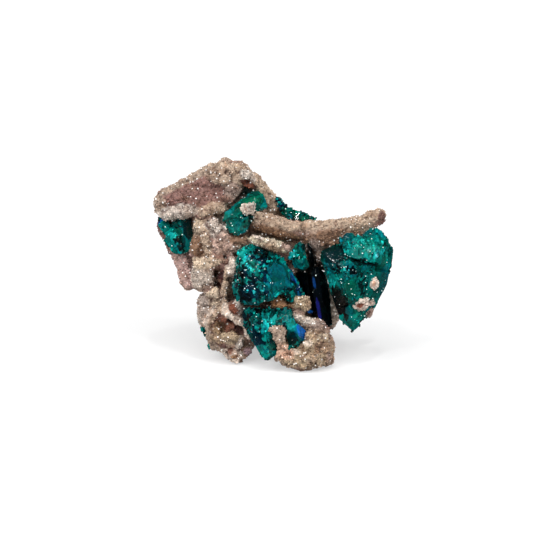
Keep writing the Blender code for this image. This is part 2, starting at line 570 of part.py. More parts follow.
def build():
    clear_scene()
    blocks = {
        "dioptase_right": RIGHT_BLOCKS,
        "dioptase_centre": CENTRE_BLOCKS,
        "dioptase_lower": LOWER_BLOCKS,
        "dioptase_small": SMALL_BLOCKS,
        "dioptase_dark": DARK_BLOCKS,
        "dioptase_upper": UPPER_BLOCKS,
        "dioptase_left": LEFT_BLOCKS,
        "dioptase_ridge": RIDGE_BLOCKS,
        "dioptase_edge": EDGE_BLOCKS,
        "dioptase_rear_upper": [prism(crystal) for crystal in REAR_UPPER],
        "dioptase_rear_lower": [prism(crystal) for crystal in REAR_LOWER],
        "dioptase_rear_side": [prism(crystal) for crystal in REAR_SIDE],
    }
    crystals = [crystal_group(name, group) for name, group in blocks.items()]
    pockets = [pocket(block) for group in blocks.values() for block in group]
    stone = rough_stone()
    cut_from(stone, [floor_block()] + pockets)
    paint(stone, "druse_matrix", (0.36, 0.26, 0.21), 0.75)
    for crystal in crystals:
        paint(crystal, "dioptase", (0.01, 0.22, 0.19), 0.18)
    centre_on_footprint([stone] + crystals)


build()
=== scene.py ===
"""Looks of a dioptase specimen: a druse-coated matrix, glassy crystals and a pale studio.

Shapes are worked out in millimetres in the display frame (across to the right, away from the viewer,
and up, as the best side shows them) and are then placed in the row frame, where the specimen leans back.
"""

import json
import math
from collections import namedtuple

import bmesh
import bpy
import numpy as np
from bpy.props import FloatProperty, IntProperty, PointerProperty
from mathutils import Matrix, Vector
from mathutils.bvhtree import BVHTree

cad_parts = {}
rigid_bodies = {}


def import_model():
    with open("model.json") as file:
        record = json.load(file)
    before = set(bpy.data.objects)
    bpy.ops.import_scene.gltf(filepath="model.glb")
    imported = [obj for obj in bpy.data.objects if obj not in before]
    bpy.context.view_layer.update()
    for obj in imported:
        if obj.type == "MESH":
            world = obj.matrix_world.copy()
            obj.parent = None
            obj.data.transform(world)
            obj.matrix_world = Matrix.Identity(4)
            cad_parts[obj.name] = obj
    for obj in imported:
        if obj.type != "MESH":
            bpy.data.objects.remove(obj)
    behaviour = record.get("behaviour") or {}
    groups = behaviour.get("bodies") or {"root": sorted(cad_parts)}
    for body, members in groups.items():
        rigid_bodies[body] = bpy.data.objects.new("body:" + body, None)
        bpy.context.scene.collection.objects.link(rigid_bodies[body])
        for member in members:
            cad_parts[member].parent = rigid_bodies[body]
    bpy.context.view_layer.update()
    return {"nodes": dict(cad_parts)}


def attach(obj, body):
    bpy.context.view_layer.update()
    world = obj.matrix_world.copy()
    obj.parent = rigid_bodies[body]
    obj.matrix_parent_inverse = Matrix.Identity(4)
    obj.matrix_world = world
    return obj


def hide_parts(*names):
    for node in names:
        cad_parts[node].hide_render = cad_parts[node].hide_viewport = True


bl_info = {
    "name": "Dioptase specimen",
    "version": (1, 0, 0),
    "blender": (4, 5, 0),
    "location": "3D View > Sidebar > Specimen",
    "description": "Builds a dioptase specimen on a druse-coated matrix, with its studio",
    "category": "Add Mesh",
}

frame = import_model()

# The display frame: how it leans and where it stands in the row frame.
MM = 0.001
LEAN = math.radians(15)
FLOOR_LEVEL = 1.1
CENTRING = Vector((-0.469, -9.859, 0.0))
PLACE = (
    Matrix.Scale(MM, 4)
    @ Matrix.Translation(CENTRING - Vector((0, 0, FLOOR_LEVEL)))
    @ Matrix.Rotation(-LEAN, 4, "X")
)
SIGHT_START = -60

# The stone's ribs and grains, in millimetres and as length over width.
RIB_COVER = 0.15
GRAIN_STRETCH = (0.4, 0.95)

# The crystals' steps as cell, step and slope, the painted light and shade of their cells, and their blocks.
FRACTURES = ((2.6, 0.22, 0.1), (1.1, 0.1, 0.14), (0.5, 0.03, 0.16))
SHADE_RANKS = (0.1, 0.35, 0.5, 0.7, 0.9)
SHADE_LEVELS = (0.05, 0.35, 0.95, 1.45, 2.4)
BLOCK_STRETCH = 1.35
BLOCK_CORNERS = 8
BLOCK_SINK = -0.85
MOST_PROUD = 0.38

# Optics.
PLAIN_SPECULAR, CRYSTAL_SPECULAR = 0.5, 0.22
STONE_IOR, QUARTZ_IOR, DIOPTASE_IOR = 1.5, 1.54, 1.66

# The studio: floor in metres, aim and sensor in millimetres, spread of the lights in degrees.
FLOOR_HALF_WIDTH = 3.0
AIM_ACROSS, AIM_UP = -0.7, 20.6
SENSOR_WIDTH = 36.0
SOFT_SPREAD, SPARK_SPREAD = 60, 2

PALETTE = {
    "mauve": (133, 100, 92),
    "rose": (184, 154, 146),
    "smoke": (138, 120, 110),
    "plate": (188, 176, 154),
    "rim": (160, 140, 124),
    "tan": (172, 150, 130),
    "grey": (162, 147, 137),
    "silver": (190, 177, 166),
    "pale": (206, 190, 176),
    "cream": (190, 170, 148),
    "ash": (172, 158, 146),
    "brown": (130, 100, 78),
    "fawn": (136, 106, 86),
    "plum": (108, 78, 72),
    # Painted shade for crevices, pits and recesses in the stone.
    "painted_crevice_shade": (62, 36, 34),
    "hollow": (214, 156, 134),
    "olive": (164, 136, 104),
    "heather": (196, 162, 170),
    "rust": (128, 76, 58),
    "peach": (196, 160, 138),
    "blush": (180, 152, 138),
    "ochre": (158, 138, 114),
    # Painted reflection lines on the dark crystal.
    "violet_painted_reflection": (34, 36, 120),
    # Painted shade for dark gaps on the stone between the crystals and the slab.
    "painted_gap_shade": (22, 34, 30),
    "amber": (168, 124, 88),
    # Painted shade for the crystals' dark sides, crevices and depths.
    "black_painted_shade": (4, 12, 16),
    "coal_painted_shade": (3, 6, 9),
    "deep": (2, 38, 38),
    "teal": (6, 118, 110),
    "sea": (6, 90, 92),
    "green": (10, 116, 88),
    # Painted highlights of light inside the crystals.
    "bright": (24, 172, 162),
    "cyan_painted_highlight": (44, 214, 206),
    # Painted reflections on the crystals' facets and edges.
    "blue_painted_reflection": (18, 62, 128),
    # Painted shade of the crystals.
    "navy_painted_shade": (8, 30, 56),
    # Painted reflection on the crystals' facets.
    "azure_painted_reflection": (22, 104, 178),
    "lagoon": (6, 100, 114),
    "leaf": (6, 94, 80),
    # Painted shade of the crystals.
    "dusk_painted_shade": (2, 16, 17),
    "midnight_painted_shade": (5, 38, 50),
}

Zone = namedtuple("Zone", "across up wide tall roll colour weight", defaults=(1.0,))
Area = namedtuple("Area", "across up wide tall roll weight", defaults=(1.0,))
Relief = namedtuple("Relief", "across up wide tall roll height")
Rib = namedtuple("Rib", "line radius colour")
Patch = namedtuple("Patch", "node across up wide tall roll colour core")
Habit = namedtuple("Habit", "lean facet contrast blocks")


def table(kind, *rows):
    """The rows of a table as tuples whose columns have names."""
    return [kind(*row) for row in rows]


MATRIX_ZONES = table(
    Zone,
    (-14.4, 34.5, 9.2, 4.8, 28, "mauve"),
    (-18.8, 33.2, 3.2, 2.4, 28, "mauve"),
    (-14.3, 39.2, 9.5, 1.0, 28, "rim"),
    (-22.5, 32.8, 1.8, 2.6, 20, "rim"),
    (-8.6, 38.9, 4.6, 2.4, -10, "cream", 0.7),
    (-7.6, 35.7, 1.6, 1.8, 0, "smoke"),
    (-1.6, 35.9, 5.2, 1.9, -45, "tan"),
    (-4.4, 38.6, 1.7, 1.0, -25, "silver"),
    # Painted shade in the gap between the slab and the upper crystal.
    (-4.4, 35.8, 2.0, 1.2, -20, "painted_gap_shade"),
    (-4.3, 37.0, 1.6, 0.5, -25, "rust"),
    (-18.2, 31.3, 4.4, 1.4, 8, "silver"),
    (-11.4, 32.0, 3.4, 1.3, 14, "tan"),
    (-14.0, 28.3, 1.8, 2.2, 14, "cream"),
    (-10.6, 28.3, 2.6, 2.2, 0, "silver"),
    (-8.8, 24.9, 2.6, 2.4, 0, "blush"),
    (-14.6, 24.6, 1.7, 2.4, 0, "brown"),
    (-12.5, 25.2, 0.9, 2.8, 6, "tan"),
    (-6.2, 26.0, 2.2, 1.2, 10, "fawn"),
    (-22.0, 27.9, 1.2, 2.8, 20, "mauve"),
    (-17.0, 20.9, 2.2, 5.0, 16, "rose"),
    (-13.6, 18.5, 2.4, 2.8, 0, "ash"),
    (-12.4, 21.2, 3.2, 1.0, 8, "cream"),
    # Painted shade in the crevice by the mauve wall.
    (-9.9, 18.2, 0.9, 2.4, 0, "painted_crevice_shade"),
    (-7.6, 19.9, 1.4, 2.8, 0, "pale"),
    (-11.4, 14.3, 1.8, 1.7, 0, "cream"),
    (-13.4, 12.7, 1.3, 2.9, 0, "grey"),
    (-8.8, 16.4, 0.4, 4.0, 0, "tan"),
    (-13.9, 9.9, 1.0, 1.4, 0, "silver"),
    (-12.3, 9.6, 0.6, 1.6, 20, "brown"),
    (-7.0, 12.3, 1.6, 1.2, 0, "rust"),
    (-7.6, 8.4, 3.4, 2.2, -24, "hollow"),
    (-10.2, 8.2, 1.2, 1.6, 0, "olive"),
    (-6.0, 7.9, 1.4, 1.0, -30, "plum"),
    # Painted shade in a small pit.
    (-8.0, 10.1, 0.8, 0.9, 0, "painted_crevice_shade"),
    (-8.8, 6.2, 3.2, 1.1, -8, "ochre"),
    (-10.0, 4.9, 1.7, 0.8, -24, "plum"),
    (-7.0, 3.0, 2.4, 1.8, 0, "peach"),
    (-7.4, 3.6, 1.6, 0.9, 0, "pale", 0.6),
    (-7.8, 3.8, 0.5, 0.8, 0, "rust", 0.8),
    (-7.0, 2.2, 1.3, 0.6, 0, "amber"),
    # Painted shade in a recess.
    (-5.9, 4.6, 0.5, 1.2, -14, "painted_crevice_shade", 0.8),
    (-4.2, 3.7, 1.0, 0.9, 0, "heather"),
    # The tube and the fin are lighter on top and darker underneath: partly their own colour, partly painted
    # shade.
    (1.0, 29.6, 5.8, 1.2, -14, "tan"),
    (1.2, 27.2, 5.6, 1.1, -14, "brown"),
    (14.0, 30.0, 9.4, 1.7, 9, "tan"),
    (12.4, 26.4, 6.4, 1.6, 8, "fawn"),
    (8.9, 23.4, 1.7, 2.8, 0, "smoke"),
    (22.4, 30.0, 0.8, 1.9, 0, "plum"),
    (0.2, 25.2, 5.0, 1.2, -17, "plate"),
    (-2.6, 26.6, 1.4, 0.5, -17, "pale"),
    (3.4, 24.6, 1.4, 0.9, -17, "blush"),
    # A darker strip along the plate's lower edge: painted shade under the plate.
    (0.6, 24.4, 2.0, 0.4, -17, "brown", 0.8),
    (2.2, 13.4, 2.8, 1.5, 0, "amber"),
    # Painted shade on the stone in the gap between the crystals.
    (7.0, 18.8, 1.8, 3.6, 0, "painted_gap_shade"),
    (10.4, 20.8, 1.5, 1.0, 0, "painted_gap_shade", 0.8),
    (6.2, 13.5, 2.1, 1.7, 0, "ochre"),
    (5.6, 11.2, 1.1, 1.0, 0, "blush"),
    (7.0, 9.9, 2.4, 1.0, -14, "cream"),
    (9.2, 8.8, 1.8, 1.3, 0, "smoke"),
    (7.2, 4.2, 5.8, 3.9, 8, "ochre"),
    (10.4, 4.6, 1.6, 1.4, 0, "fawn", 0.6),
    # The pale and cream spots on the knob's lump tops are painted highlights; the thin brown ones between
    # them are painted shade in its creases.
    (5.1, 3.7, 0.8, 0.6, 0, "pale", 0.7),
    (7.6, 5.4, 0.9, 0.6, 0, "pale", 0.7),
    (10.4, 6.8, 1.0, 0.6, 0, "cream", 0.8),
    (7.8, 2.2, 1.0, 0.5, 0, "cream", 0.8),
    (11.6, 3.0, 0.6, 0.9, 0, "blush", 0.8),
    (6.3, 4.6, 0.4, 0.7, 30, "brown", 0.7),
    (9.2, 4.4, 0.5, 1.1, 10, "brown", 0.6),
    (6.4, 2.8, 0.8, 0.3, 0, "brown", 0.6),
    (1.3, 7.2, 2.1, 2.1, 0, "rim"),
    (2.6, 3.8, 2.2, 1.6, -14, "peach"),
    # A strip behind the crystals painted lighter than its own colour: painted light in the shadow that the
    # crystals cast on it.
    (13.0, 12.0, 1.4, 3.8, 0, "pale"),
)
MATRIX_RELIEF = table(
    Relief,
    (-11.9, 39.7, 0.8, 0.7, 0, 0.6),
    (-9.9, 39.6, 0.9, 0.9, 0, 0.8),
    (-11.0, 38.1, 1.1, 0.9, 0, 0.7),
    (-9.0, 37.8, 1.0, 0.9, 0, 0.7),
    (-7.6, 39.9, 0.8, 0.7, 0, 0.6),
    (-6.4, 39.9, 0.6, 0.6, 0, 0.6),
    (-7.4, 35.9, 1.4, 1.3, 0, 0.8),
    (-8.5, 34.4, 1.0, 0.8, 20, 0.9),
    (-4.6, 38.7, 1.5, 0.8, -25, 0.6),
    (-18.5, 34.5, 1.0, 0.9, 0, 0.6),
    (-17.9, 33.1, 1.1, 0.7, 0, 0.6),
    (-22.3, 33.4, 0.9, 0.8, 0, 0.5),
    (-20.7, 32.1, 1.1, 0.5, 20, 0.6),
    (-18.1, 31.2, 1.0, 0.7, 10, 0.7),
    (-16.7, 31.4, 0.8, 0.9, 0, 0.7),
    (-13.2, 30.9, 1.5, 0.6, 22, 0.6),
    (-10.3, 32.2, 1.5, 0.8, 8, 0.6),
    (-13.9, 28.5, 1.1, 1.3, 0, 0.7),
    (-11.4, 28.9, 1.0, 1.0, 0, 0.7),
    (-9.8, 27.3, 1.2, 1.2, 0, 0.7),
    (-12.5, 25.7, 0.6, 1.6, 18, 0.6),
    (-14.4, 26.0, 1.0, 1.0, 0, 0.6),
    (-14.4, 23.9, 1.2, 1.0, 0, 0.6),
    (-10.6, 25.4, 1.1, 1.0, 0, 0.6),
    (-8.2, 24.3, 1.2, 0.8, 10, 0.5),
    (-12.7, 22.6, 0.8, 0.4, 20, -0.8),
    (-11.0, 18.5, 0.45, 1.5, 0, -1.2),
    (-11.3, 15.1, 1.2, 1.2, 0, 0.7),
    (-11.0, 13.2, 0.7, 1.0, 10, 0.5),
    (-7.1, 12.2, 1.0, 0.8, -20, 0.6),
    (-6.2, 10.4, 1.4, 0.4, -38, 0.5),
    (-8.2, 6.6, 1.6, 0.7, -5, 0.6),
    (-7.6, 3.2, 1.0, 1.0, 0, 0.5),
    (6.5, 27.8, 0.35, 2.2, 12, -0.9),
    (-4.4, 36.9, 1.6, 0.4, -25, 0.6),
    (-3.0, 26.5, 1.1, 0.5, -20, 0.45),
    (-0.9, 25.7, 0.9, 0.5, -10, 0.4),
    (1.4, 25.1, 1.2, 0.6, -24, 0.5),
    (3.8, 24.3, 0.9, 0.7, 0, 0.5),
    (5.1, 3.7, 1.1, 0.9, 0, 0.5),
    (7.7, 5.2, 1.3, 1.0, 10, 0.5),
    (10.3, 6.5, 1.2, 0.9, -10, 0.5),
    (7.8, 2.3, 1.4, 0.9, 0, 0.5),
    (10.8, 3.6, 1.1, 1.1, 0, 0.5),
    (3.6, 1.9, 1.0, 0.6, -20, 0.5),
    (-1.9, 25.5, 0.3, 0.6, 20, -0.4),
    (2.6, 24.4, 0.3, 0.6, 10, -0.5),
)
RIBS = table(
    Rib,
    (((-8.9, 17.2), (-9.0, 15.2), (-9.6, 12.6), (-10.8, 10.9), (-12.2, 9.0), (-12.6, 7.0)), 0.3, "tan"),
    (((-11.2, 12.6), (-12.2, 10.9), (-13.0, 8.9)), 0.3, "pale"),
    (((-12.2, 8.8), (-12.3, 6.8), (-11.4, 5.0), (-10.2, 4.0)), 0.4, "rim"),
    (((-9.0, 12.8), (-8.6, 11.5), (-7.4, 10.4), (-6.2, 9.5), (-5.2, 9.0)), 0.5, "pale"),
    (((-6.5, 13.6), (-5.9, 12.2), (-5.5, 10.8), (-5.1, 9.4)), 0.38, "silver"),
    (((-11.4, 6.4), (-10.0, 6.0), (-8.4, 6.5), (-7.3, 6.9)), 0.6, "ochre"),
    (((-7.4, 6.4), (-6.4, 6.1), (-5.8, 6.3)), 0.5, "ochre"),
    (((-5.7, 6.3), (-6.0, 5.4), (-6.7, 4.5)), 0.28, "silver"),
    (((-5.2, 8.8), (-4.7, 7.6), (-4.2, 6.3)), 0.26, "pale"),
    (((-9.4, 3.7), (-8.6, 2.6), (-7.4, 1.7)), 0.36, "pale"),
    (((-5.6, 3.4), (-5.8, 2.4), (-6.6, 1.7)), 0.4, "pale"),
    (((-12.9, 27.4), (-12.4, 25.6), (-12.3, 24.0)), 0.4, "tan"),
    (((-14.9, 22.0), (-12.6, 22.0), (-10.4, 21.6)), 0.42, "cream"),
    (((-17.3, 22.6), (-16.4, 19.4), (-15.9, 17.0)), 0.34, "rose"),
    (((-21.4, 35.3), (-19.6, 36.2), (-15.4, 38.4), (-11.0, 40.2)), 0.36, "rim"),
    (((4.6, 10.9), (6.4, 10.3), (8.4, 9.6)), 0.4, "silver"),
)
CALM_AREAS = table(
    Area,
    (-15.2, 34.4, 7.6, 3.6, 28, 0.8),
    (1.2, 28.6, 5.6, 2.2, -14, 0.7),
    (14.0, 28.4, 9.6, 3.4, 9, 0.8),
    (-17.0, 20.9, 2.2, 5.0, 16, 0.5),
)
# Most crystal zones are painted light: the lightest teal ones are painted highlights, the darkest ones
# painted shade, and the bluish lines and facets painted reflections; mid teal, sea, green and leaf ones are
# the crystals' own colour.
CRYSTAL_ZONES = {
    "dioptase_right": table(
        Zone,
        (18.5, 24.6, 5.0, 1.9, 0, "bright", 0.75),
        (12.3, 23.0, 2.7, 2.3, 0, "deep"),
        (12.4, 20.4, 1.8, 0.8, 0, "sea"),
        (17.2, 23.2, 1.8, 1.2, 0, "teal"),
        (18.4, 27.2, 1.1, 1.0, 0, "sea"),
        (15.3, 26.6, 1.2, 0.9, 0, "lagoon"),
        (20.4, 23.8, 2.0, 1.1, -20, "cyan_painted_highlight", 0.4),
        (20.4, 19.0, 2.4, 1.6, 0, "teal", 0.7),
        (18.6, 21.3, 2.9, 0.5, -12, "deep"),
        (19.4, 21.1, 2.0, 0.25, -12, "black_painted_shade"),
        (14.8, 20.0, 2.8, 0.8, -6, "black_painted_shade", 0.85),
        (14.8, 19.9, 2.0, 0.4, -6, "cyan_painted_highlight", 0.25),
        (13.2, 17.3, 1.6, 1.6, 0, "bright", 0.4),
        (15.8, 16.6, 1.7, 1.6, 0, "leaf"),
        (18.2, 17.2, 0.8, 1.9, 0, "deep", 0.9),
        (22.6, 17.0, 1.3, 3.4, 6, "sea", 0.9),
        (23.4, 22.2, 0.8, 1.6, 6, "bright", 0.4),
        (13.8, 13.2, 1.7, 3.5, 24, "dusk_painted_shade"),
        (15.8, 11.9, 0.9, 1.0, 0, "sea", 0.9),
        (17.3, 10.4, 1.2, 1.0, 20, "bright", 0.6),
    ),
    "dioptase_centre": table(
        Zone,
        (-3.2, 18.6, 4.4, 5.8, 0, "midnight_painted_shade", 0.62),
        (-3.2, 18.6, 4.4, 5.8, 0, "bright", 0.13),
        (-4.9, 23.6, 1.9, 1.1, 20, "bright", 0.55),
        (-4.9, 23.8, 1.6, 0.9, 20, "cyan_painted_highlight", 0.12),
        (-1.8, 22.8, 2.2, 1.2, -15, "black_painted_shade", 0.65),
        (-4.6, 21.2, 1.2, 0.9, 0, "cyan_painted_highlight", 0.55),
        (-5.6, 18.7, 1.4, 1.5, 0, "black_painted_shade", 0.6),
        (-3.4, 19.9, 0.8, 0.8, 0, "cyan_painted_highlight", 0.5),
        (-3.6, 15.6, 2.4, 1.4, 0, "midnight_painted_shade", 0.7),
        (-3.9, 15.4, 1.0, 0.6, 0, "cyan_painted_highlight", 0.35),
        (-5.2, 14.2, 1.6, 0.8, -10, "black_painted_shade", 0.7),
        (-0.1, 14.9, 1.3, 0.7, 0, "sea", 0.8),
        (-0.2, 21.2, 0.8, 0.9, 0, "bright", 0.5),
        (2.2, 19.0, 2.5, 1.9, -38, "sea"),
        (1.4, 17.0, 2.2, 0.9, 8, "sea", 0.8),
        (2.6, 16.2, 1.6, 0.6, 0, "midnight_painted_shade", 0.7),
        (4.4, 17.2, 0.3, 2.4, 28, "midnight_painted_shade"),
        (5.1, 17.1, 0.34, 2.8, 28, "blue_painted_reflection"),
        (3.6, 15.0, 0.8, 1.2, 0, "deep", 0.8),
    ),
    "dioptase_lower": table(
        Zone,
        (0.0, 9.6, 6.0, 4.0, 0, "midnight_painted_shade", 0.3),
        (0.0, 9.6, 6.0, 4.0, 0, "bright", 0.12),
        (-4.4, 10.2, 1.5, 2.6, 20, "midnight_painted_shade", 0.85),
        (-1.8, 11.7, 1.1, 0.9, 0, "black_painted_shade", 0.8),
        (-1.7, 9.5, 0.9, 1.6, 18, "bright", 0.6),
        (1.6, 11.4, 2.0, 0.9, 0, "bright", 0.15),
        (0.3, 10.0, 0.9, 0.7, 0, "cyan_painted_highlight", 0.7),
        (-2.2, 6.2, 1.3, 1.9, 28, "midnight_painted_shade"),
        (-1.6, 3.9, 1.9, 1.3, 0, "bright", 0.45),
        (0.4, 5.0, 0.9, 0.9, 0, "teal"),
        (4.0, 9.4, 1.1, 1.1, 0, "bright", 0.7),
        (4.3, 6.4, 1.4, 1.8, 30, "deep"),
        (6.3, 8.0, 0.95, 1.9, 16, "azure_painted_reflection"),
        (7.2, 7.2, 0.3, 0.9, 0, "navy_painted_shade", 0.9),
    ),
    "dioptase_small": table(
        Zone,
        (4.4, 23.2, 1.0, 1.0, 0, "cyan_painted_highlight", 0.8),
        (5.9, 21.0, 1.4, 1.1, 0, "teal", 0.6),
        (6.7, 24.4, 0.9, 1.2, 0, "deep", 0.8),
    ),
    # This dark crystal is all painted shade, with painted bluish reflections.
    "dioptase_dark": table(
        Zone,
        (8.6, 16.0, 7.0, 11.0, 0, "coal_painted_shade", 1.0),
        (8.8, 17.4, 0.28, 1.2, 10, "blue_painted_reflection", 1.0),
        (9.7, 12.0, 0.34, 2.5, 10, "violet_painted_reflection", 1.0),
        (7.7, 11.2, 1.0, 0.8, 0, "azure_painted_reflection", 1.0),
    ),
    "dioptase_upper": table(
        Zone,
        (-7.2, 31.0, 2.2, 1.4, 30, "leaf", 0.8),
        (-4.0, 33.6, 3.2, 1.2, 35, "green", 0.8),
        (-8.8, 30.9, 1.3, 1.3, 0, "bright", 0.3),
        (-6.6, 28.3, 1.4, 1.2, 0, "bright", 0.2),
        (-4.4, 30.2, 0.9, 1.3, 0, "deep", 0.7),
        (-3.4, 35.1, 2.4, 0.5, 25, "deep", 0.7),
    ),
    "dioptase_left": table(
        Zone,
        (-16.2, 28.4, 1.2, 2.4, 0, "black_painted_shade", 0.9),
        (-18.4, 28.9, 1.2, 1.0, 0, "deep", 0.8),
        (-19.6, 26.2, 1.7, 1.5, 0, "bright", 0.8),
        (-17.6, 25.0, 0.8, 2.0, 0, "deep", 0.8),
        (-22.0, 29.4, 0.9, 1.0, 0, "azure_painted_reflection", 0.7),
    ),
    "dioptase_ridge": table(
        Zone,
        (2.2, 33.6, 1.6, 1.8, 0, "navy_painted_shade", 0.5),
        (5.2, 31.0, 3.8, 1.0, -12, "green", 0.7),
    ),
    "dioptase_edge": (),
    "dioptase_rear_upper": (),
    "dioptase_rear_lower": (),
    "dioptase_rear_side": (),
}
PLAIN_HABIT = Habit(20, 1.6, 0.7, 1.0)
HABITS = {
    "dioptase_right": Habit(-12, 2.3, 0.5, 0.55),
    "dioptase_centre": Habit(30, 1.2, 0.9, 1.3),
    "dioptase_lower": Habit(25, 1.2, 0.9, 1.2),
    "dioptase_dark": Habit(-3, 2.0, 0.4, 0.3),
    "dioptase_upper": Habit(-55, 1.9, 0.5, 0.5),
    "dioptase_left": Habit(15, 2.2, 0.55, 0.5),
    "dioptase_ridge": Habit(60, 1.2, 0.8, 0.8),
    "dioptase_small": Habit(20, 1.6, 0.6, 0.5),
}
SMOOTH_FACES = {
    "dioptase_right": table(
        Area,
        (12.3, 23.0, 2.5, 2.1, 0, 0.72),
        (17.2, 23.2, 1.7, 1.1, 0, 0.8),
        (13.8, 13.2, 1.6, 3.4, 24, 0.85),
        (22.7, 18.0, 1.3, 4.4, 6, 0.8),
        (15.8, 16.4, 1.4, 1.4, 0, 0.6),
        (16.2, 9.4, 1.6, 1.8, 0, 0.6),
        (18.6, 21.3, 2.7, 0.4, -12, 0.8),
    ),
    "dioptase_upper": table(
        Area,
        (-3.4, 34.3, 2.4, 0.8, 35, 0.7),
        (-8.0, 30.8, 1.4, 1.0, 30, 0.7),
        (-6.4, 28.6, 1.2, 1.0, 0, 0.6),
    ),
    "dioptase_centre": table(
        Area,
        (2.2, 19.0, 2.7, 2.0, -38, 0.85),
        (1.6, 16.8, 2.6, 1.0, 8, 0.6),
    ),
    "dioptase_dark": table(Area, (8.6, 16.0, 6.0, 9.0, 0)),
    "dioptase_left": table(Area, (-16.2, 27.4, 1.4, 3.4, 0)),
    "dioptase_lower": table(
        Area,
        (6.3, 8.0, 1.1, 2.0, 16),
        (-2.2, 5.4, 1.7, 2.2, 28, 0.85),
        (4.3, 7.6, 1.3, 2.8, 0, 0.75),
        (0.4, 5.0, 0.8, 0.8, 0, 0.7),
    ),
}
PATCHES = table(
    Patch,
    ("dioptase_upper", -4.4, 31.9, 1.5, 1.1, -20, "pale", "blush"),
    ("dioptase_upper", -3.8, 32.4, 1.0, 0.8, 30, "silver", "blush"),
    ("dioptase_right", 20.6, 17.2, 0.75, 1.2, -10, "pale", "peach"),
    ("dioptase_right", 18.1, 13.2, 1.6, 1.2, 20, "pale", "rust"),
    ("dioptase_right", 19.6, 11.5, 0.8, 1.2, -30, "blush", "plum"),
    ("dioptase_right", 20.1, 13.6, 0.7, 0.8, 0, "pale", "blush"),
)


def linear(name):
    """A palette colour as linear light."""
    return np.array([(c / 255) ** 2.2 for c in PALETTE[name]])


def smoothstep(values, low, high):
    share = np.clip((values - low) / (high - low), 0, 1)
    return share * share * (3 - 2 * share)


def blend(below, above, share):
    """Colours above laid over colours below, by a share for each point."""
    share = share[:, None]
    return below * (1 - share) + above * share


def cell_random(index, seed, count):
    """Steady random numbers from 0 to 1 for cells of a grid."""
    phase = index @ np.array([127.1, 311.7, 74.7]) + seed * 17.31
    return np.modf(np.abs(np.sin(phase[..., None] + 1.73 * np.arange(count))) * 43758.5453)[0]


def soft_noise(points, size, seed):
    """Smooth noise from -1 to 1 whose bumps are about size across."""
    scaled = points / size
    base = np.floor(scaled)
    share = scaled - base
    share = share * share * (3 - 2 * share)
    total = np.zeros(len(points))
    for corner in np.ndindex(2, 2, 2):
        corner = np.array(corner)
        weight = np.prod(np.where(corner == 1, share, 1 - share), axis=1)
        total += weight * cell_random(base + corner, seed, 1)[:, 0]
    return 2 * total - 1


def nearest_cell(points, size, seed):
    """For each point the nearest of jittered cells: distance, gap to the next one, centre and index."""
    scaled = points / size
    base = np.floor(scaled)
    first = np.full(len(points), 9.0)
    second = np.full(len(points), 9.0)
    centre = np.zeros_like(points)
    index = np.zeros_like(points)
    for offset in np.ndindex(3, 3, 3):
        cell = base + np.array(offset) - 1
        place = cell + cell_random(cell, seed, 3)
        distance = np.linalg.norm(scaled - place, axis=1)
        nearer = distance < first
        second = np.where(nearer, first, np.minimum(second, distance))
        first = np.where(nearer, distance, first)
        centre[nearer] = place[nearer]
        index[nearer] = cell[nearer]
    return first, second - first, centre * size, index


def reach_of(points, oval, straight=False):
    """Distance from the centre of an oval, or of the hexagon round it, where 1 is its border."""
    turn = math.radians(oval.roll)
    across = points[:, 0] - oval.across
    up = points[:, 2] - oval.up
    along = (across * math.cos(turn) + up * math.sin(turn)) / oval.wide
    over = (up * math.cos(turn) - across * math.sin(turn)) / oval.tall
    if straight:
        slants = abs(0.5 * along) + abs(0.866 * over)
        return np.maximum(abs(along), slants) * 1.06
    return np.hypot(along, over)


def within(points, zone, seed=0, ragged=0.18, straight=False):
    """How far points are inside a zone, from 0 to 1, with a ragged border or a straight one."""
    if straight:
        return 1 - smoothstep(reach_of(points, zone, True), 0.94, 1.06)
    reach = reach_of(points, zone) + ragged * soft_noise(points, 0.9, seed + 5)
    return 1 - smoothstep(reach, 0.82, 1.15)


def strongest(points, areas, **options):
    """The weight of the strongest area at each point."""
    total = np.zeros(len(points))
    for area in areas:
        total = np.maximum(total, within(points, area, **options) * area.weight)
    return total


def warped(points, size, amount, seed):
    """Points shifted by soft noise, which makes cells between them irregular."""
    shift = [soft_noise(points, size, seed + axis) for axis in range(3)]
    return points + amount * np.stack(shift, axis=1)


def domes(points, size, seed):
    """Rounded lumps side by side: their height from 0 to 1, and a level of its own for each."""
    distance, _, _, index = nearest_cell(points, size, seed)
    return np.sqrt(np.clip(1 - (distance / 0.9) ** 2, 0, 1)), cell_random(index, seed + 3, 1)[:, 0]


def relief(points, bosses):
    """Height of the named bosses and hollows, and how close each point is to one's edge, where shade is
    painted round it.
    """
    height = np.zeros(len(points))
    edge = np.zeros(len(points))
    for boss in bosses:
        reach = reach_of(points, boss) + 0.12 * soft_noise(points, 0.7, 8)
        dome = np.sqrt(np.clip(1 - reach**2, 0, 1)) * boss.height
        height = np.where(np.abs(dome) > np.abs(height), dome, height)
        edge = np.maximum(edge, np.exp(-(((reach - 1.08) / 0.16) ** 2)))
        edge = np.where(reach < 0.85, 0.0, edge)
    return height, edge


def distance_to(points, line):
    """Distance from a line drawn in the plane of the view."""
    flat = points[:, [0, 2]]
    nearest = np.full(len(points), 99.0)
    for start, end in zip(line, line[1:]):
        start, step = np.array(start), np.array(end) - np.array(start)
        share = np.clip((flat - start) @ step / (step @ step), 0, 1)
        nearest = np.minimum(nearest, np.linalg.norm(flat - start - share[:, None] * step, axis=1))
    return nearest


def sight(place):
    """Start and direction of the line of sight through a place of the view."""
    return Vector((place[0], SIGHT_START, place[1])), Vector((0, 1, 0))


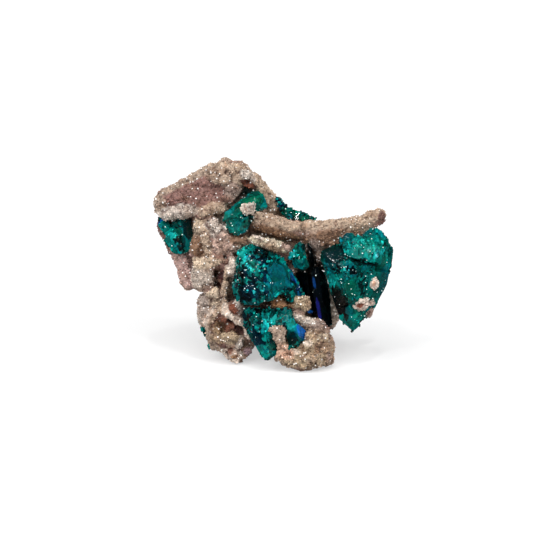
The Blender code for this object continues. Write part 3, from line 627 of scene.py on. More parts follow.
def add_ribs(obj, ribs):
    """Lays rounded ribs on the front of the stone, where lines of sight meet it."""
    bm = bmesh.new()
    bm.from_mesh(obj.data)
    tree = BVHTree.FromBMesh(bm)
    for rib in ribs:
        places = []
        for start, end in zip(rib.line, rib.line[1:]):
            count = max(2, math.ceil(math.dist(start, end) / (0.5 * rib.radius)))
            places += [Vector(start).lerp(Vector(end), i / count) for i in range(count)]
        hits = [tree.ray_cast(*sight(place))[0] for place in places]
        depths = [hit.y for hit in hits if hit]
        middle = sorted(depths)[len(depths) // 2]
        depths = np.array([min(hit.y, middle + 0.8) if hit else middle for hit in hits])
        padded = np.pad(depths, 3, mode="edge")
        smooth = np.convolve(padded, np.full(7, 1 / 7), mode="valid")
        for place, depth in zip(places, smooth):
            centre = Matrix.Translation((place.x, depth + 0.2 * rib.radius, place.y))
            bmesh.ops.create_icosphere(bm, subdivisions=2, radius=rib.radius + RIB_COVER, matrix=centre)
    bm.to_mesh(obj.data)
    bm.free()


def points_of(mesh):
    points = np.empty(len(mesh.vertices) * 3)
    mesh.vertices.foreach_get("co", points)
    return points.reshape(-1, 3)


def normals_of(mesh):
    normals = np.empty(len(mesh.vertices) * 3)
    mesh.vertex_normals.foreach_get("vector", normals)
    return normals.reshape(-1, 3)


def set_points(mesh, points):
    mesh.vertices.foreach_set("co", points.reshape(-1))
    mesh.update()


def set_colour(mesh, name, colours):
    attribute = mesh.color_attributes.new(name, "FLOAT_COLOR", "POINT")
    rgba = np.ones((len(mesh.vertices), 4))
    rgba[:, :3] = np.clip(colours, 0, 1)
    attribute.data.foreach_set("color", rgba.reshape(-1))
    mesh.color_attributes.active_color = attribute


def set_value(mesh, name, values):
    attribute = mesh.attributes.new(name, "FLOAT", "POINT")
    attribute.data.foreach_set("value", np.asarray(values, float))


def link(obj):
    bpy.context.scene.collection.objects.link(obj)
    return obj


def evaluated_copy(obj):
    """The mesh that an object's modifiers make, as plain data."""
    graph = bpy.context.evaluated_depsgraph_get()
    mesh = bpy.data.meshes.new_from_object(obj.evaluated_get(graph), depsgraph=graph)
    obj.modifiers.clear()
    return mesh


def cad_copy(node):
    """A welded copy of a CAD node's mesh, in the display frame in millimetres."""
    bm = bmesh.new()
    bm.from_mesh(frame["nodes"][node].data)
    bmesh.ops.remove_doubles(bm, verts=bm.verts, dist=1e-6)
    mesh = bpy.data.meshes.new(node + "_look")
    bm.to_mesh(mesh)
    bm.free()
    mesh.transform(PLACE.inverted())
    return link(bpy.data.objects.new(node + "_look", mesh))


def finish_piece(obj, mesh, material, replaced=()):
    mesh.transform(PLACE)
    mesh.materials.clear()
    mesh.materials.append(material)
    mesh.update()
    obj.data = mesh
    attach(obj, "root")
    if replaced:
        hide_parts(*replaced)


def add_piece(name, mesh, material):
    """Makes a piece from a display-frame mesh."""
    finish_piece(link(bpy.data.objects.new(name, mesh)), mesh, material)


def new_material(name):
    """An empty node material with its Principled shader."""
    material = bpy.data.materials.new(name)
    material.use_nodes = True
    return material, material.node_tree, material.node_tree.nodes["Principled BSDF"]


def add_node(tree, kind, location, **settings):
    made = tree.nodes.new(kind)
    made.location = location
    for key, value in settings.items():
        setattr(made, key, value)
    return made


def connect(tree, *wires):
    """Joins sockets, each wire being a node, its output, the next node and its input."""
    for source, output, target, socket in wires:
        tree.links.new(source.outputs[output], target.inputs[socket])


def preset(node, **values):
    """Sets a node's inputs, with a _ in place of each space of their names."""
    for name, value in values.items():
        node.inputs[name.replace("_", " ")].default_value = value


def shading_group(name, darkest, lightest):
    """A group that multiplies the tint attribute by a spread value, and the nodes that are still open."""
    group = bpy.data.node_groups.new(name, "ShaderNodeTree")
    group.interface.new_socket("Color", in_out="OUTPUT", socket_type="NodeSocketColor")
    group.interface.new_socket("Height", in_out="OUTPUT", socket_type="NodeSocketFloat")
    output = add_node(group, "NodeGroupOutput", (800, 0))
    coordinates = add_node(group, "ShaderNodeTexCoord", (-800, -200))
    tint = add_node(group, "ShaderNodeAttribute", (-400, 200), attribute_name="tint")
    fine = add_node(group, "ShaderNodeTexNoise", (-500, -500))
    spread = add_node(group, "ShaderNodeMapRange", (-100, 0))
    preset(spread, To_Min=darkest, To_Max=lightest)
    mix = add_node(group, "ShaderNodeMix", (300, 100), data_type="RGBA", blend_type="MULTIPLY")
    preset(mix, Factor=1.0)
    connect(
        group,
        (coordinates, "Object", fine, "Vector"),
        (tint, "Color", mix, 6),
        (spread, "Result", mix, 7),
        (mix, 2, output, "Color"),
    )
    return group, output, coordinates, fine, spread


def surface_group(name, cell_size, contrast):
    """A node group that mottles the tint and gives a matching bump height."""
    group, output, coordinates, fine, spread = shading_group(name, 1 - contrast, 1 + contrast)
    cells = add_node(group, "ShaderNodeTexVoronoi", (-500, -200))
    preset(cells, Scale=1 / (cell_size * MM))
    preset(fine, Scale=0.6 / (cell_size * MM))
    height = add_node(group, "ShaderNodeMath", (200, -400), operation="ADD")
    connect(
        group,
        (coordinates, "Object", cells, "Vector"),
        (cells, "Color", spread, "Value"),
        (cells, "Distance", height, 0),
        (fine, "Fac", height, 1),
        (height, "Value", output, "Height"),
    )
    return group


def grain_group(name, darkest, lightest, skew, grit):
    """A node group that gives each grain or block its own shade of the colour below it."""
    group, output, _, fine, spread = shading_group(name, darkest, lightest)
    preset(fine, Scale=1 / (grit * MM))
    shade = add_node(group, "ShaderNodeAttribute", (-400, 0), attribute_name="shade")
    skewed = add_node(group, "ShaderNodeMath", (-250, 0), operation="POWER")
    skewed.inputs[1].default_value = skew
    connect(
        group,
        (shade, "Fac", skewed, 0),
        (skewed, "Value", spread, "Value"),
        (fine, "Fac", output, "Height"),
    )
    return group


def surface_material(name, group, roughness, ior, bump, transmission=0.0, specular=PLAIN_SPECULAR):
    """A Principled material fed by a surface group."""
    material, tree, shader = new_material(name)
    source = add_node(tree, "ShaderNodeGroup", (-600, 0), node_tree=group)
    raised = add_node(tree, "ShaderNodeBump", (-300, -300))
    preset(raised, Strength=bump, Distance=0.1 * MM)
    connect(
        tree,
        (source, "Color", shader, "Base Color"),
        (source, "Height", raised, "Height"),
        (raised, "Normal", shader, "Normal"),
    )
    preset(shader, Roughness=roughness, IOR=ior, Transmission_Weight=transmission)
    preset(shader, Specular_IOR_Level=specular)
    return material


def plain_material(name, colour, roughness, glow):
    """A Principled material of one colour that glows a little by itself: a painted glint."""
    material, _, shader = new_material(name)
    rgba = (*colour, 1)
    preset(shader, Base_Color=rgba, Roughness=roughness, Emission_Color=rgba, Emission_Strength=glow)
    return material


def paint_zones(points, facing, colours, zones, seed, ragged=0.18, straight=False, chance=None):
    """Lays each zone's colour over those below, where the surface faces the viewer.

    The zone's weight is a blend or, with a chance for each point, the part of the points it covers.
    """
    for number, zone in enumerate(zones):
        weight = zone.weight
        if chance is not None:
            weight = smoothstep(weight - np.modf(chance * (7.3 + number))[0], -0.04, 0.04)
        share = within(points, zone, seed + number, ragged, straight) * weight * facing
        colours = blend(colours, linear(zone.colour), share)
    return colours


def matrix_colours(points, facing, lumps):
    """Colour of the bare stone: tan and mauve, with painted shade that makes it lighter on its lumps and
    darker between them.
    """
    mix = smoothstep(soft_noise(points, 3.2, 3), -0.5, 0.6)
    colours = blend(linear("mauve"), linear("tan"), mix)
    colours = paint_zones(points, facing, colours, MATRIX_ZONES, 11)
    for rib in RIBS:
        reach = distance_to(points, rib.line) / (rib.radius + RIB_COVER)
        share = (1 - smoothstep(reach + 0.2 * soft_noise(points, 0.5, 9), 0.8, 1.15)) * facing
        colours = blend(colours, linear(rib.colour), share)
    stain = 0.5 * smoothstep(soft_noise(points, 1.1, 6), 0.0, 0.7)
    colours = blend(colours, linear("fawn"), stain)
    # Low places between the lumps are painted dark plum: painted shade.
    depth = smoothstep(lumps, 0.15, 0.75)[:, None]
    return (linear("plum") * 0.75) * (1 - depth) + colours * depth * (0.65 + 0.6 * lumps)[:, None]


def grow_matrix(settings):
    """The matrix, remeshed finely and swollen into lumps the size of its druse clusters."""
    obj = cad_copy("matrix")
    add_ribs(obj, RIBS)
    remesh = obj.modifiers.new("fine", "REMESH")
    remesh.mode = "VOXEL"
    remesh.voxel_size = settings.voxel
    soften = obj.modifiers.new("soften", "SMOOTH")
    soften.factor = 0.5
    soften.iterations = settings.softening
    mesh = evaluated_copy(obj)
    points, normals = points_of(mesh), normals_of(mesh)
    bent = warped(points, 1.3, 0.55, 21)
    lumps, levels = domes(bent, settings.lump_size, 1)
    knobs, knob_levels = domes(warped(points, 0.5, 0.18, 25), settings.lump_size * 0.38, 2)
    calm = strongest(points, CALM_AREAS)
    coarse = 0.75 * lumps + 0.5 * (levels - 0.5)
    fine = 0.32 * knobs + 0.24 * (knob_levels - 0.5) - 0.12
    facing = smoothstep(-normals[:, 1], -0.1, 0.35)
    carved, edges = relief(points, MATRIX_RELIEF)
    height = (coarse - 0.55) * (1 - calm) + fine - 0.22 + 0.24 * calm + facing * carved
    set_points(mesh, points + normals * (height * settings.lump_height)[:, None])
    # Lighter on the lumps and knobs, darker between them and round the bosses' edges: painted shade; each
    # knob's own level is random tone.
    shade = (0.45 + 0.55 * lumps) * (1 - calm) + 0.8 * calm
    shade = shade * (0.2 + 0.6 * knobs + 0.6 * knob_levels) * (1 - 0.45 * edges * facing)
    seen = smoothstep(-normals[:, 1], -0.45, -0.05)
    set_colour(mesh, "tint", matrix_colours(points, seen, shade))
    return obj, mesh


def flatten_base(mesh):
    """Keeps a row-frame mesh from reaching below the floor."""
    points = points_of(mesh)
    points[:, 2] = np.maximum(points[:, 2], 0)
    set_points(mesh, points)


def growing_tree(name, inputs):
    """A geometry node tree that plants pieces where the surface's cover attribute lets them grow.

    It gives the nodes that its maker still connects: the group input, the scattered points, the
    instances and the random size of a piece.
    """
    tree = bpy.data.node_groups.new(name, "GeometryNodeTree")
    for label, kind in (
        ("Geometry", "Geometry"),
        ("Density", "Float"),
        ("Smallest", "Float"),
        ("Largest", "Float"),
        *inputs,
        ("Seed", "Int"),
        ("Material", "Material"),
    ):
        tree.interface.new_socket(label, in_out="INPUT", socket_type="NodeSocket" + kind)
    tree.interface.new_socket("Geometry", in_out="OUTPUT", socket_type="NodeSocketGeometry")
    source = add_node(tree, "NodeGroupInput", (-900, 0))
    output = add_node(tree, "NodeGroupOutput", (1300, 0))
    cover = add_node(tree, "GeometryNodeInputNamedAttribute", (-900, -300), data_type="FLOAT")
    preset(cover, Name="cover")
    amount = add_node(tree, "ShaderNodeMath", (-650, -200), operation="MULTIPLY")
    scatter = add_node(tree, "GeometryNodeDistributePointsOnFaces", (-400, 0))
    size = add_node(tree, "FunctionNodeRandomValue", (-400, -500), data_type="FLOAT")
    plant = add_node(tree, "GeometryNodeInstanceOnPoints", (450, 0))
    shade = add_node(tree, "FunctionNodeRandomValue", (400, 300), data_type="FLOAT")
    keep = add_node(tree, "GeometryNodeStoreNamedAttribute", (700, 0), data_type="FLOAT", domain="INSTANCE")
    preset(keep, Name="shade")
    realize = add_node(tree, "GeometryNodeRealizeInstances", (900, 0))
    coat = add_node(tree, "GeometryNodeSetMaterial", (1100, 0))
    connect(
        tree,
        (source, "Geometry", scatter, "Mesh"),
        (source, "Density", amount, 0),
        (cover, "Attribute", amount, 1),
        (amount, "Value", scatter, "Density"),
        (source, "Seed", scatter, "Seed"),
        (source, "Smallest", size, 2),
        (source, "Largest", size, 3),
        (source, "Seed", size, "Seed"),
        (plant, "Instances", keep, "Geometry"),
        (shade, 1, keep, "Value"),
        (keep, "Geometry", realize, "Geometry"),
        (realize, "Geometry", coat, "Geometry"),
        (source, "Material", coat, "Material"),
        (coat, "Geometry", output, "Geometry"),
    )
    return tree, source, scatter, plant, size


def druse_tree():
    """Geometry nodes that grow small six-sided points all over a surface."""
    tree, source, scatter, plant, size = growing_tree("Druse", [("Tilt", "Float")])
    grain = add_node(tree, "GeometryNodeMeshCone", (-400, 300), fill_type="NONE")
    preset(grain, Vertices=6, Radius_Top=0.0, Radius_Bottom=0.5, Depth=1.0)
    negative = add_node(tree, "ShaderNodeMath", (-650, -600), operation="MULTIPLY")
    negative.inputs[1].default_value = -1.0
    low = add_node(tree, "ShaderNodeCombineXYZ", (-600, -450))
    high = add_node(tree, "ShaderNodeCombineXYZ", (-600, -750))
    preset(high, Z=2 * math.pi)
    spin = add_node(tree, "FunctionNodeRandomValue", (-400, -400), data_type="FLOAT_VECTOR")
    spin_turn = add_node(tree, "FunctionNodeEulerToRotation", (-200, -400))
    turn = add_node(tree, "FunctionNodeRotateRotation", (-100, -200), rotation_space="LOCAL")
    stretch = add_node(tree, "FunctionNodeRandomValue", (-100, -700), data_type="FLOAT")
    stretch.inputs[2].default_value, stretch.inputs[3].default_value = GRAIN_STRETCH
    tall = add_node(tree, "ShaderNodeMath", (100, -600), operation="MULTIPLY")
    scale = add_node(tree, "ShaderNodeCombineXYZ", (250, -450))
    connect(
        tree,
        (source, "Tilt", negative, 0),
        *((negative, "Value", low, axis) for axis in "XY"),
        *((source, "Tilt", high, axis) for axis in "XY"),
        (low, "Vector", spin, 0),
        (high, "Vector", spin, 1),
        (source, "Seed", spin, "Seed"),
        (spin, 0, spin_turn, "Euler"),
        (scatter, "Rotation", turn, "Rotation"),
        (spin_turn, "Rotation", turn, "Rotate By"),
        (size, 1, tall, 0),
        (stretch, 1, tall, 1),
        *((size, 1, scale, axis) for axis in "XY"),
        (tall, "Value", scale, "Z"),
        (scatter, "Points", plant, "Points"),
        (grain, "Mesh", plant, "Instance"),
        (turn, "Rotation", plant, "Rotation"),
        (scale, "Vector", plant, "Scale"),
    )
    return tree


def facet_tree():
    """Geometry nodes that set small rhombohedral blocks into a crystal, all turned nearly alike."""
    extra = [("Sink", "Float"), ("Axis", "Vector"), ("Jitter", "Vector")]
    tree, source, scatter, plant, size = growing_tree("Facets", extra)
    cube = add_node(tree, "GeometryNodeMeshCube", (-700, 400))
    upright = add_node(tree, "GeometryNodeTransform", (-500, 400))
    preset(upright, Rotation=(math.radians(45), math.atan(math.sqrt(0.5)), 0))
    stretch = add_node(tree, "GeometryNodeTransform", (-300, 400))
    preset(stretch, Scale=(1, 1, BLOCK_STRETCH))
    deeper = add_node(tree, "ShaderNodeMath", (-150, -400), operation="MULTIPLY")
    inward = add_node(tree, "ShaderNodeVectorMath", (50, -300), operation="SCALE")
    lower = add_node(tree, "GeometryNodeSetPosition", (200, 0))
    opposite = add_node(tree, "ShaderNodeVectorMath", (-400, -800), operation="SCALE")
    preset(opposite, Scale=-1.0)
    wobble = add_node(tree, "FunctionNodeRandomValue", (-150, -800), data_type="FLOAT_VECTOR")
    turn = add_node(tree, "ShaderNodeVectorMath", (100, -700), operation="ADD")
    connect(
        tree,
        (source, "Seed", wobble, "Seed"),
        (cube, "Mesh", upright, "Geometry"),
        (upright, "Geometry", stretch, "Geometry"),
        (size, 1, deeper, 0),
        (source, "Sink", deeper, 1),
        (scatter, "Normal", inward, 0),
        (deeper, "Value", inward, "Scale"),
        (scatter, "Points", lower, "Geometry"),
        (inward, "Vector", lower, "Offset"),
        (source, "Jitter", opposite, 0),
        (opposite, "Vector", wobble, 0),
        (source, "Jitter", wobble, 1),
        (wobble, 0, turn, 0),
        (source, "Axis", turn, 1),
        (lower, "Geometry", plant, "Points"),
        (stretch, "Geometry", plant, "Instance"),
        (turn, "Vector", plant, "Rotation"),
        (size, 1, plant, "Scale"),
    )
    return tree


def grown_on(surface, cover, tree, material, **values):
    """The mesh that a node tree grows on a surface, thickly where its cover is near 1."""
    ground = surface.copy()
    set_value(ground, "cover", cover)
    host = link(bpy.data.objects.new("host", ground))
    modifier = host.modifiers.new("growth", "NODES")
    modifier.node_group = tree
    for name, value in {**values, "Material": material}.items():
        modifier[tree.interface.items_tree[name].identifier] = value
    host.update_tag()
    mesh = evaluated_copy(host)
    bpy.data.objects.remove(host)
    bpy.data.meshes.remove(ground)
    return mesh


def lattice(points, lean, seed):
    """Points in a crystal's own grain, stretched along its length and bent a little."""
    turn = math.radians(lean)
    across = points[:, 0] * math.cos(turn) + points[:, 2] * math.sin(turn)
    up = points[:, 2] * math.cos(turn) - points[:, 0] * math.sin(turn)
    return warped(np.stack([across, points[:, 1], 0.62 * up], axis=1), 1.4, 0.3, seed + 40)


def trim_blocks(mesh, tree):
    """Removes the blocks that stand further out of a surface than allowed."""
    outside = []
    for point in points_of(mesh):
        place, normal, _, _ = tree.find_nearest(point)
        outside.append((Vector(point) - place).dot(normal))
    proud = np.array(outside).reshape(-1, BLOCK_CORNERS).max(axis=1) > MOST_PROUD
    bm = bmesh.new()
    bm.from_mesh(mesh)
    bm.verts.ensure_lookup_table()
    doomed = [bm.verts[i] for i in np.flatnonzero(np.repeat(proud, BLOCK_CORNERS))]
    bmesh.ops.delete(bm, geom=doomed, context="VERTS")
    bm.to_mesh(mesh)
    bm.free()


def mosaic(points, node, smooth, seed):
    """Shade of a crystal's cells, random painted light and shade that stays near 1 on its smooth faces."""
    habit = HABITS.get(node, PLAIN_HABIT)
    grain = lattice(points, habit.lean, seed)
    _, gap, _, index = nearest_cell(grain, habit.facet, seed)
    coarse = cell_random(index, seed, 1)[:, 0]
    fine = cell_random(nearest_cell(grain, 0.6, seed + 1)[3], seed + 1, 1)[:, 0]
    seam = 1 - 0.5 * (1 - smooth) * (1 - smoothstep(gap * habit.facet, 0.04, 0.2))
    level = np.interp(0.6 * coarse + 0.4 * fine, SHADE_RANKS, SHADE_LEVELS)
    factor = 1 + (level - 1) * habit.contrast * (1 - 0.8 * smooth)
    hue = 1 + np.stack([0 * fine, 0.2 * (fine - 0.5), 0.45 * (coarse - 0.4)], axis=1)
    return (factor * seam)[:, None] * hue


def grow_crystal(node, settings, seed):
    """A crystal group with fracture steps, growth facets and fine cells of painted light and shade.

    It gives the object, its mesh, a mesh of the plain colours for what grows on it, and the cover.
    """
    obj = cad_copy(node)
    size = max(obj.dimensions)
    strength = settings.facet_depth * min(1, size / 8)
    remesh = obj.modifiers.new("fine", "REMESH")
    remesh.mode = "SHARP"
    cell_count = size / settings.grid
    remesh.octree_depth = max(5, math.ceil(math.log2(cell_count / 0.9)))
    remesh.scale = cell_count / 2**remesh.octree_depth
    remesh.use_remove_disconnected = False
    remesh.use_smooth_shade = False
    mesh = evaluated_copy(obj)
    points, normals = points_of(mesh), normals_of(mesh)
    smooth = strongest(points, SMOOTH_FACES.get(node, ()), straight=True)
    habit = HABITS.get(node, PLAIN_HABIT)
    grain = lattice(points, habit.lean, seed)
    height = np.zeros(len(points))
    for number, (cell, step, slope) in enumerate(FRACTURES):
        _, _, centre, index = nearest_cell(grain, cell, seed + number)
        chance = cell_random(index, seed + 9 + number, 4)
        tilt = ((chance[:, :3] - 0.5) * 2 * (grain - centre)).sum(axis=1)
        level = step * (chance[:, 3] - 0.6) + slope * tilt
        height += level * (1 - (0.75 if number else 0.9) * smooth)
    height -= 0.08
    points = points + normals * (height * strength)[:, None]
    set_points(mesh, points)
    ground = np.tile(linear("teal"), (len(points), 1))
    zones = CRYSTAL_ZONES[node]
    cells = cell_random(nearest_cell(grain, 0.55, seed + 2)[3], seed + 2, 4)
    seen = smoothstep(-normals[:, 1], -0.6, -0.2)
    strewn = points + (cells[:, :3] - 0.5) * 1.1
    broken = paint_zones(strewn, seen, ground, zones, seed + 20, 0.35, chance=cells[:, 3])
    whole = paint_zones(points, seen, ground, zones, seed + 20, straight=True)
    base = blend(broken, whole, smooth)
    ground_mesh = mesh.copy()
    set_colour(ground_mesh, "tint", base)
    # Each cell's random painted light and shade goes over the zones' colours.
    set_colour(mesh, "tint", base * mosaic(points, node, smooth, seed))
    return obj, mesh, ground_mesh, 1 - 0.97 * smooth


def patch_mesh(patch, crystal, seed):
    """A crust of druse half sunk in a crystal's front, where a line of sight meets it."""
    hit, place, normal, _ = crystal.ray_cast(*sight((patch.across, patch.up)))
    if not hit:
        raise RuntimeError(f"the druse patch at {patch.across}, {patch.up} misses its crystal")
    bm = bmesh.new()
    bmesh.ops.create_icosphere(bm, subdivisions=5, radius=1.0)
    mesh = bpy.data.meshes.new("patch")
    bm.to_mesh(mesh)
    bm.free()
    points = points_of(mesh)
    lumps, levels = domes(points * np.array([patch.wide, patch.tall, 1.0]) + seed, 0.8, seed)
    points = points * (0.5 + 0.5 * lumps + 0.5 * (levels - 0.4))[:, None]
    outward = (normal.normalized() + Vector((0, -1.2, 0))).normalized()
    roll = math.radians(patch.roll)
    side = Vector((math.cos(roll), 0, math.sin(roll)))
    side = (side - outward * side.dot(outward)).normalized()
    turn = np.array([side, outward.cross(side), outward]).T
    sized = points * np.array([patch.wide, patch.tall, 0.7])
    reach = np.hypot(points[:, 0] + 0.15, points[:, 1])
    core = smoothstep(reach + 0.2 * soft_noise(points, 0.4, seed), 0.3, 0.6)
    colours = blend(linear(patch.core), linear(patch.colour), core)
    set_points(mesh, sized @ turn.T + np.array(place))
    # Darker between the lumps and lighter on their tops: painted shade.
    set_colour(mesh, "tint", colours * (0.5 + 0.7 * lumps)[:, None])
    return mesh


def add_floor(brightness):
    """A pale floor that is brighter to the camera than to what stands on it."""
    mesh = bpy.data.meshes.new("floor")
    side = FLOOR_HALF_WIDTH
    corners = [(-side, -side, 0), (side, -side, 0), (side, side, 0), (-side, side, 0)]
    mesh.from_pydata(corners, [], [(0, 1, 2, 3)])
    floor = link(bpy.data.objects.new("floor", mesh))
    material, tree, shader = new_material("floor")
    preset(shader, Roughness=0.9, Specular_IOR_Level=0.0, Emission_Color=(1, 1, 1, 1))
    seen = add_node(tree, "ShaderNodeLightPath", (-500, -300))
    lift = add_node(tree, "ShaderNodeMath", (-250, -300), operation="MULTIPLY")
    lift.inputs[1].default_value = brightness
    ground = add_node(tree, "ShaderNodeMix", (-250, 200), data_type="RGBA")
    ground.inputs[6].default_value = (0.5, 0.5, 0.5, 1)
    ground.inputs[7].default_value = (0.05, 0.06, 0.07, 1)
    connect(
        tree,
        (seen, "Is Glossy Ray", ground, "Factor"),
        (ground, 2, shader, "Base Color"),
        (seen, "Is Camera Ray", lift, 0),
        (lift, "Value", shader, "Emission Strength"),
    )
    mesh.materials.append(material)


def aim(obj, place):
    """Puts an object at a place of the display frame and turns it to the specimen."""
    obj.location = PLACE @ Vector(place)
    obj.rotation_mode = "QUATERNION"
    target = PLACE @ Vector((AIM_ACROSS, 0, AIM_UP))
    obj.rotation_quaternion = (target - obj.location).to_track_quat("-Z", "Y")


def add_lights(studio):
    """Two soft lights that faces don't mirror, and small ones that they do, as sparks."""
    for name, place, spread, strength in (
        ("key", (-100, -300, 330), SOFT_SPREAD, studio.key),
        ("fill", (260, -200, 120), SOFT_SPREAD, studio.fill),
        ("spark_left", (-150, -260, 160), SPARK_SPREAD, studio.spark),
        ("spark_right", (140, -280, 240), SPARK_SPREAD, studio.spark),
        ("spark_top", (20, -160, 340), SPARK_SPREAD, studio.spark),
        ("spark_low", (-300, -220, 90), SPARK_SPREAD, studio.spark),
        ("spark_side", (240, -200, 300), SPARK_SPREAD, studio.spark),
        ("spark_far", (-260, -160, 280), SPARK_SPREAD, studio.spark),
    ):
        data = bpy.data.lights.new(name, "SUN")
        data.angle = math.radians(spread)
        data.energy = strength
        lamp = link(bpy.data.objects.new(name, data))
        aim(lamp, place)
        lamp.visible_glossy = spread == SPARK_SPREAD


def pale_world():
    """A world that is white to the camera, pale to surfaces and bluish in what they mirror."""
    world = bpy.data.worlds.new("studio")
    world.use_nodes = True
    tree = world.node_tree
    seen = tree.nodes["Background"]
    preset(seen, Color=(1, 1, 1, 1))
    around = add_node(tree, "ShaderNodeBackground", (0, -200))
    preset(around, Color=(0.96, 0.98, 1.0, 1), Strength=0.3)
    mirrored = add_node(tree, "ShaderNodeBackground", (0, -400))
    preset(mirrored, Color=(0.12, 0.3, 0.45, 1), Strength=0.2)
    ray = add_node(tree, "ShaderNodeLightPath", (-200, 200))
    shine = add_node(tree, "ShaderNodeMixShader", (200, -200))
    choose = add_node(tree, "ShaderNodeMixShader", (400, 0))
    connect(
        tree,
        (ray, "Is Glossy Ray", shine, "Fac"),
        (around, "Background", shine, 1),
        (mirrored, "Background", shine, 2),
        (ray, "Is Camera Ray", choose, "Fac"),
        (shine, "Shader", choose, 1),
        (seen, "Background", choose, 2),
        (choose, "Shader", tree.nodes["World Output"], "Surface"),
    )
    return world


def add_camera(studio):
    """A camera that looks straight at the display side."""
    data = bpy.data.cameras.new("camera")
    data.lens = studio.lens
    data.sensor_width = SENSOR_WIDTH
    data.clip_start, data.clip_end = 0.01, 20.0
    camera = link(bpy.data.objects.new("camera", data))
    aim(camera, (AIM_ACROSS, -studio.view_width * studio.lens / SENSOR_WIDTH, AIM_UP))
    return camera


class SpecimenSettings(bpy.types.PropertyGroup):
    voxel: FloatProperty(
        name="Voxel", description="Cell of the matrix mesh, in millimetres", default=0.3, min=0.15
    )
    softening: IntProperty(name="Softening", description="Smoothing passes on the matrix", default=2, min=0)
    lump_size: FloatProperty(
        name="Lump size", description="Spacing of the druse clusters, in millimetres", default=1.7
    )
    lump_height: FloatProperty(
        name="Lump height", description="How far the clusters stand out", default=1.0
    )
    grid: FloatProperty(name="Grid", description="Cell of the crystal meshes, in millimetres", default=0.11)
    facet_depth: FloatProperty(
        name="Facet depth", description="Strength of the crystals' steps and facets", default=1.0
    )


class DruseSettings(bpy.types.PropertyGroup):
    density: FloatProperty(name="Density", description="Grains per square millimetre", default=7.0)
    smallest: FloatProperty(name="Smallest", description="Smallest grain, in millimetres", default=0.2)
    largest: FloatProperty(name="Largest", description="Largest grain, in millimetres", default=0.42)
    tilt: FloatProperty(
        name="Tilt", description="Most a grain leans", default=0.5, subtype="ANGLE", unit="ROTATION"
    )
    glints: FloatProperty(name="Glints", description="Clear sparkling grains per square mm", default=0.3)
    seed: IntProperty(name="Seed", description="Seed of the grains' places", default=4)


class StudioSettings(bpy.types.PropertyGroup):
    lens: FloatProperty(name="Lens", description="Focal length, in millimetres", default=150.0)
    view_width: FloatProperty(
        name="View width", description="Width of the view at the specimen, in millimetres", default=106.6
    )
    key: FloatProperty(name="Key", description="Strength of the main soft light", default=1.8)
    fill: FloatProperty(name="Fill", description="Strength of the side light", default=0.5)
    spark: FloatProperty(name="Spark", description="Strength of each small light", default=0.3)
    floor_lift: FloatProperty(name="Floor lift", description="Brightness added to the floor", default=0.5)


class SPECIMEN_OT_matrix(bpy.types.Operator):
    """Builds the matrix and the druse that coats it"""

    bl_idname = "specimen.matrix"
    bl_label = "Matrix and druse"

    def execute(self, context):
        settings, druse = context.scene.specimen, context.scene.specimen_druse
        obj, mesh = grow_matrix(settings)
        look = surface_group("Stone surface", cell_size=0.5, contrast=0.22)
        stone = surface_material("stone", look, roughness=0.6, ior=STONE_IOR, bump=0.5)
        look = grain_group("Grain surface", darkest=0.35, lightest=1.8, skew=1.0, grit=0.2)
        grain = surface_material("druse", look, roughness=0.25, ior=QUARTZ_IOR, bump=0.1)
        # Small clear grains that glow a little: real grains with painted glints.
        glint = plain_material("glint", (0.93, 0.9, 0.86), roughness=0.15, glow=0.35)
        points, normals = points_of(mesh), normals_of(mesh)
        height_over_floor = (np.array(PLACE.to_3x3()) @ points.T).T[:, 2] / MM - FLOOR_LEVEL
        clear = smoothstep(height_over_floor, 0.5, 0.9)
        front = smoothstep(-normals[:, 1], -0.35, 0.0)
        tree = druse_tree()
        dense = {
            "Density": druse.density,
            "Smallest": druse.smallest,
            "Largest": druse.largest,
            "Tilt": druse.tilt,
        }
        sparse = {"Density": druse.glints, "Smallest": 0.18, "Largest": 0.46, "Tilt": 0.9}
        for name, cover, material, values, seed in (
            ("druse_front", front * clear, grain, dense, druse.seed),
            ("druse_back", 0.5 * (1 - front) * clear, grain, dense, druse.seed + 1),
            ("glints", clear, glint, sparse, 12),
        ):
            grown = grown_on(mesh, cover, tree, material, Seed=seed, **values)
            add_piece(name, grown, material)
        obj.name = "matrix_stone"
        finish_piece(obj, mesh, stone, ("matrix",))
        flatten_base(obj.data)
        return {"FINISHED"}


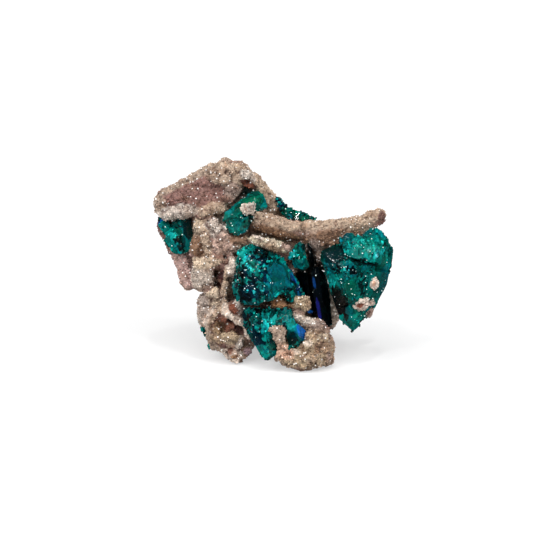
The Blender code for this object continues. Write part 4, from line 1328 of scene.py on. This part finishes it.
class SPECIMEN_OT_crystals(bpy.types.Operator):
    """Builds every dioptase crystal group"""

    bl_idname = "specimen.crystals"
    bl_label = "Dioptase crystals"

    def execute(self, context):
        # Small grains on the crystals that glow a little: real grains with painted glints.
        glint = plain_material("crystal_glint", (0.8, 1.0, 0.96), roughness=0.1, glow=0.7)
        glassy = {"ior": DIOPTASE_IOR, "transmission": 0.2}
        look = surface_group("Dioptase surface", cell_size=0.3, contrast=0.35)
        material = surface_material(
            "dioptase", look, roughness=0.1, bump=0.2, specular=CRYSTAL_SPECULAR, **glassy
        )
        # Each block and chip gets a random shade from dark to very bright: painted inner reflections, shade
        # and glints.
        look = grain_group("Block surface", darkest=0.2, lightest=2.1, skew=1.3, grit=0.25)
        block_coat = surface_material("dioptase_blocks", look, roughness=0.08, bump=0.15, **glassy)
        look = grain_group("Chip surface", darkest=0.08, lightest=3.2, skew=2.4, grit=0.2)
        chip_coat = surface_material("dioptase_chips", look, roughness=0.08, bump=0.15, **glassy)
        druse, facets = bpy.data.node_groups["Druse"], facet_tree()
        for number, node in enumerate(CRYSTAL_ZONES):
            obj, mesh, surface, cover = grow_crystal(node, context.scene.specimen, 31 + number)
            habit = HABITS.get(node, PLAIN_HABIT)
            skin = BVHTree.FromPolygons(points_of(surface), [tuple(f.vertices) for f in surface.polygons])
            for part, coat, density, smallest, largest, jitter in (
                ("blocks", block_coat, 1.3, 0.35, 1.25, 0.15),
                ("chips", chip_coat, 7.0, 0.14, 0.42, 0.5),
            ):
                grown = grown_on(
                    surface,
                    cover,
                    facets,
                    coat,
                    Density=density * habit.blocks,
                    Smallest=smallest,
                    Largest=largest,
                    Sink=BLOCK_SINK,
                    Axis=(0.25, math.radians(habit.lean), 0.4),
                    Jitter=(jitter, jitter, jitter),
                    Seed=50 + number,
                )
                trim_blocks(grown, skin)
                add_piece(f"{node}_{part}", grown, coat)
            values = {"Density": 0.22, "Smallest": 0.1, "Largest": 0.26, "Tilt": 0.9, "Seed": 90 + number}
            grown = grown_on(surface, cover, druse, glint, **values)
            bpy.data.meshes.remove(surface)
            if len(grown.vertices):
                add_piece(node + "_glints", grown, glint)
            finish_piece(obj, mesh, material, (node,))
        return {"FINISHED"}


class SPECIMEN_OT_patches(bpy.types.Operator):
    """Builds the crusts of druse on the crystals"""

    bl_idname = "specimen.patches"
    bl_label = "Druse patches"

    def execute(self, context):
        crust = bpy.data.materials["stone"]
        grain = bpy.data.materials["druse"]
        tree = bpy.data.node_groups["Druse"]
        for number, patch in enumerate(PATCHES):
            crystal = bpy.data.objects[patch.node + "_look"]
            shape = crystal.data.copy()
            shape.transform(PLACE.inverted())
            probe = link(bpy.data.objects.new("probe", shape))
            context.view_layer.update()
            mesh = patch_mesh(patch, probe, 60 + number)
            bpy.data.objects.remove(probe)
            bpy.data.meshes.remove(shape)
            cover = np.ones(len(mesh.vertices))
            values = {"Density": 9.0, "Smallest": 0.16, "Largest": 0.34, "Tilt": 0.5, "Seed": 70 + number}
            grown = grown_on(mesh, cover, tree, grain, **values)
            name = f"patch_{number + 1}"
            add_piece(name, mesh, crust)
            add_piece(name + "_grains", grown, grain)
        return {"FINISHED"}


class SPECIMEN_OT_studio(bpy.types.Operator):
    """Sets up the floor, the lights, the world and the camera"""

    bl_idname = "specimen.studio"
    bl_label = "Studio"

    def execute(self, context):
        scene, studio = context.scene, context.scene.specimen_studio
        add_floor(studio.floor_lift)
        add_lights(studio)
        scene.world = pale_world()
        scene.camera = add_camera(studio)
        scene.view_settings.view_transform = "Standard"
        return {"FINISHED"}


class SPECIMEN_PT_panel(bpy.types.Panel):
    bl_idname = "SPECIMEN_PT_panel"
    bl_label = "Dioptase specimen"
    bl_space_type = "VIEW_3D"
    bl_region_type = "UI"
    bl_category = "Specimen"

    def draw(self, context):
        scene = context.scene
        for settings in (scene.specimen, scene.specimen_druse, scene.specimen_studio):
            box = self.layout.box()
            for name in settings.__annotations__:
                box.prop(settings, name)
        for operator in OPERATORS:
            self.layout.operator(operator.bl_idname)


SETTINGS = (SpecimenSettings, DruseSettings, StudioSettings)
OPERATORS = (SPECIMEN_OT_matrix, SPECIMEN_OT_crystals, SPECIMEN_OT_patches, SPECIMEN_OT_studio)
CLASSES = SETTINGS + OPERATORS + (SPECIMEN_PT_panel,)


def register():
    for cls in CLASSES:
        bpy.utils.register_class(cls)
    bpy.types.Scene.specimen = PointerProperty(type=SpecimenSettings)
    bpy.types.Scene.specimen_druse = PointerProperty(type=DruseSettings)
    bpy.types.Scene.specimen_studio = PointerProperty(type=StudioSettings)


def unregister():
    del bpy.types.Scene.specimen
    del bpy.types.Scene.specimen_druse
    del bpy.types.Scene.specimen_studio
    for cls in reversed(CLASSES):
        bpy.utils.unregister_class(cls)


def main():
    register()
    bpy.ops.specimen.matrix()
    bpy.ops.specimen.crystals()
    bpy.ops.specimen.patches()
    bpy.ops.specimen.studio()


if __name__ == "__main__":
    main()
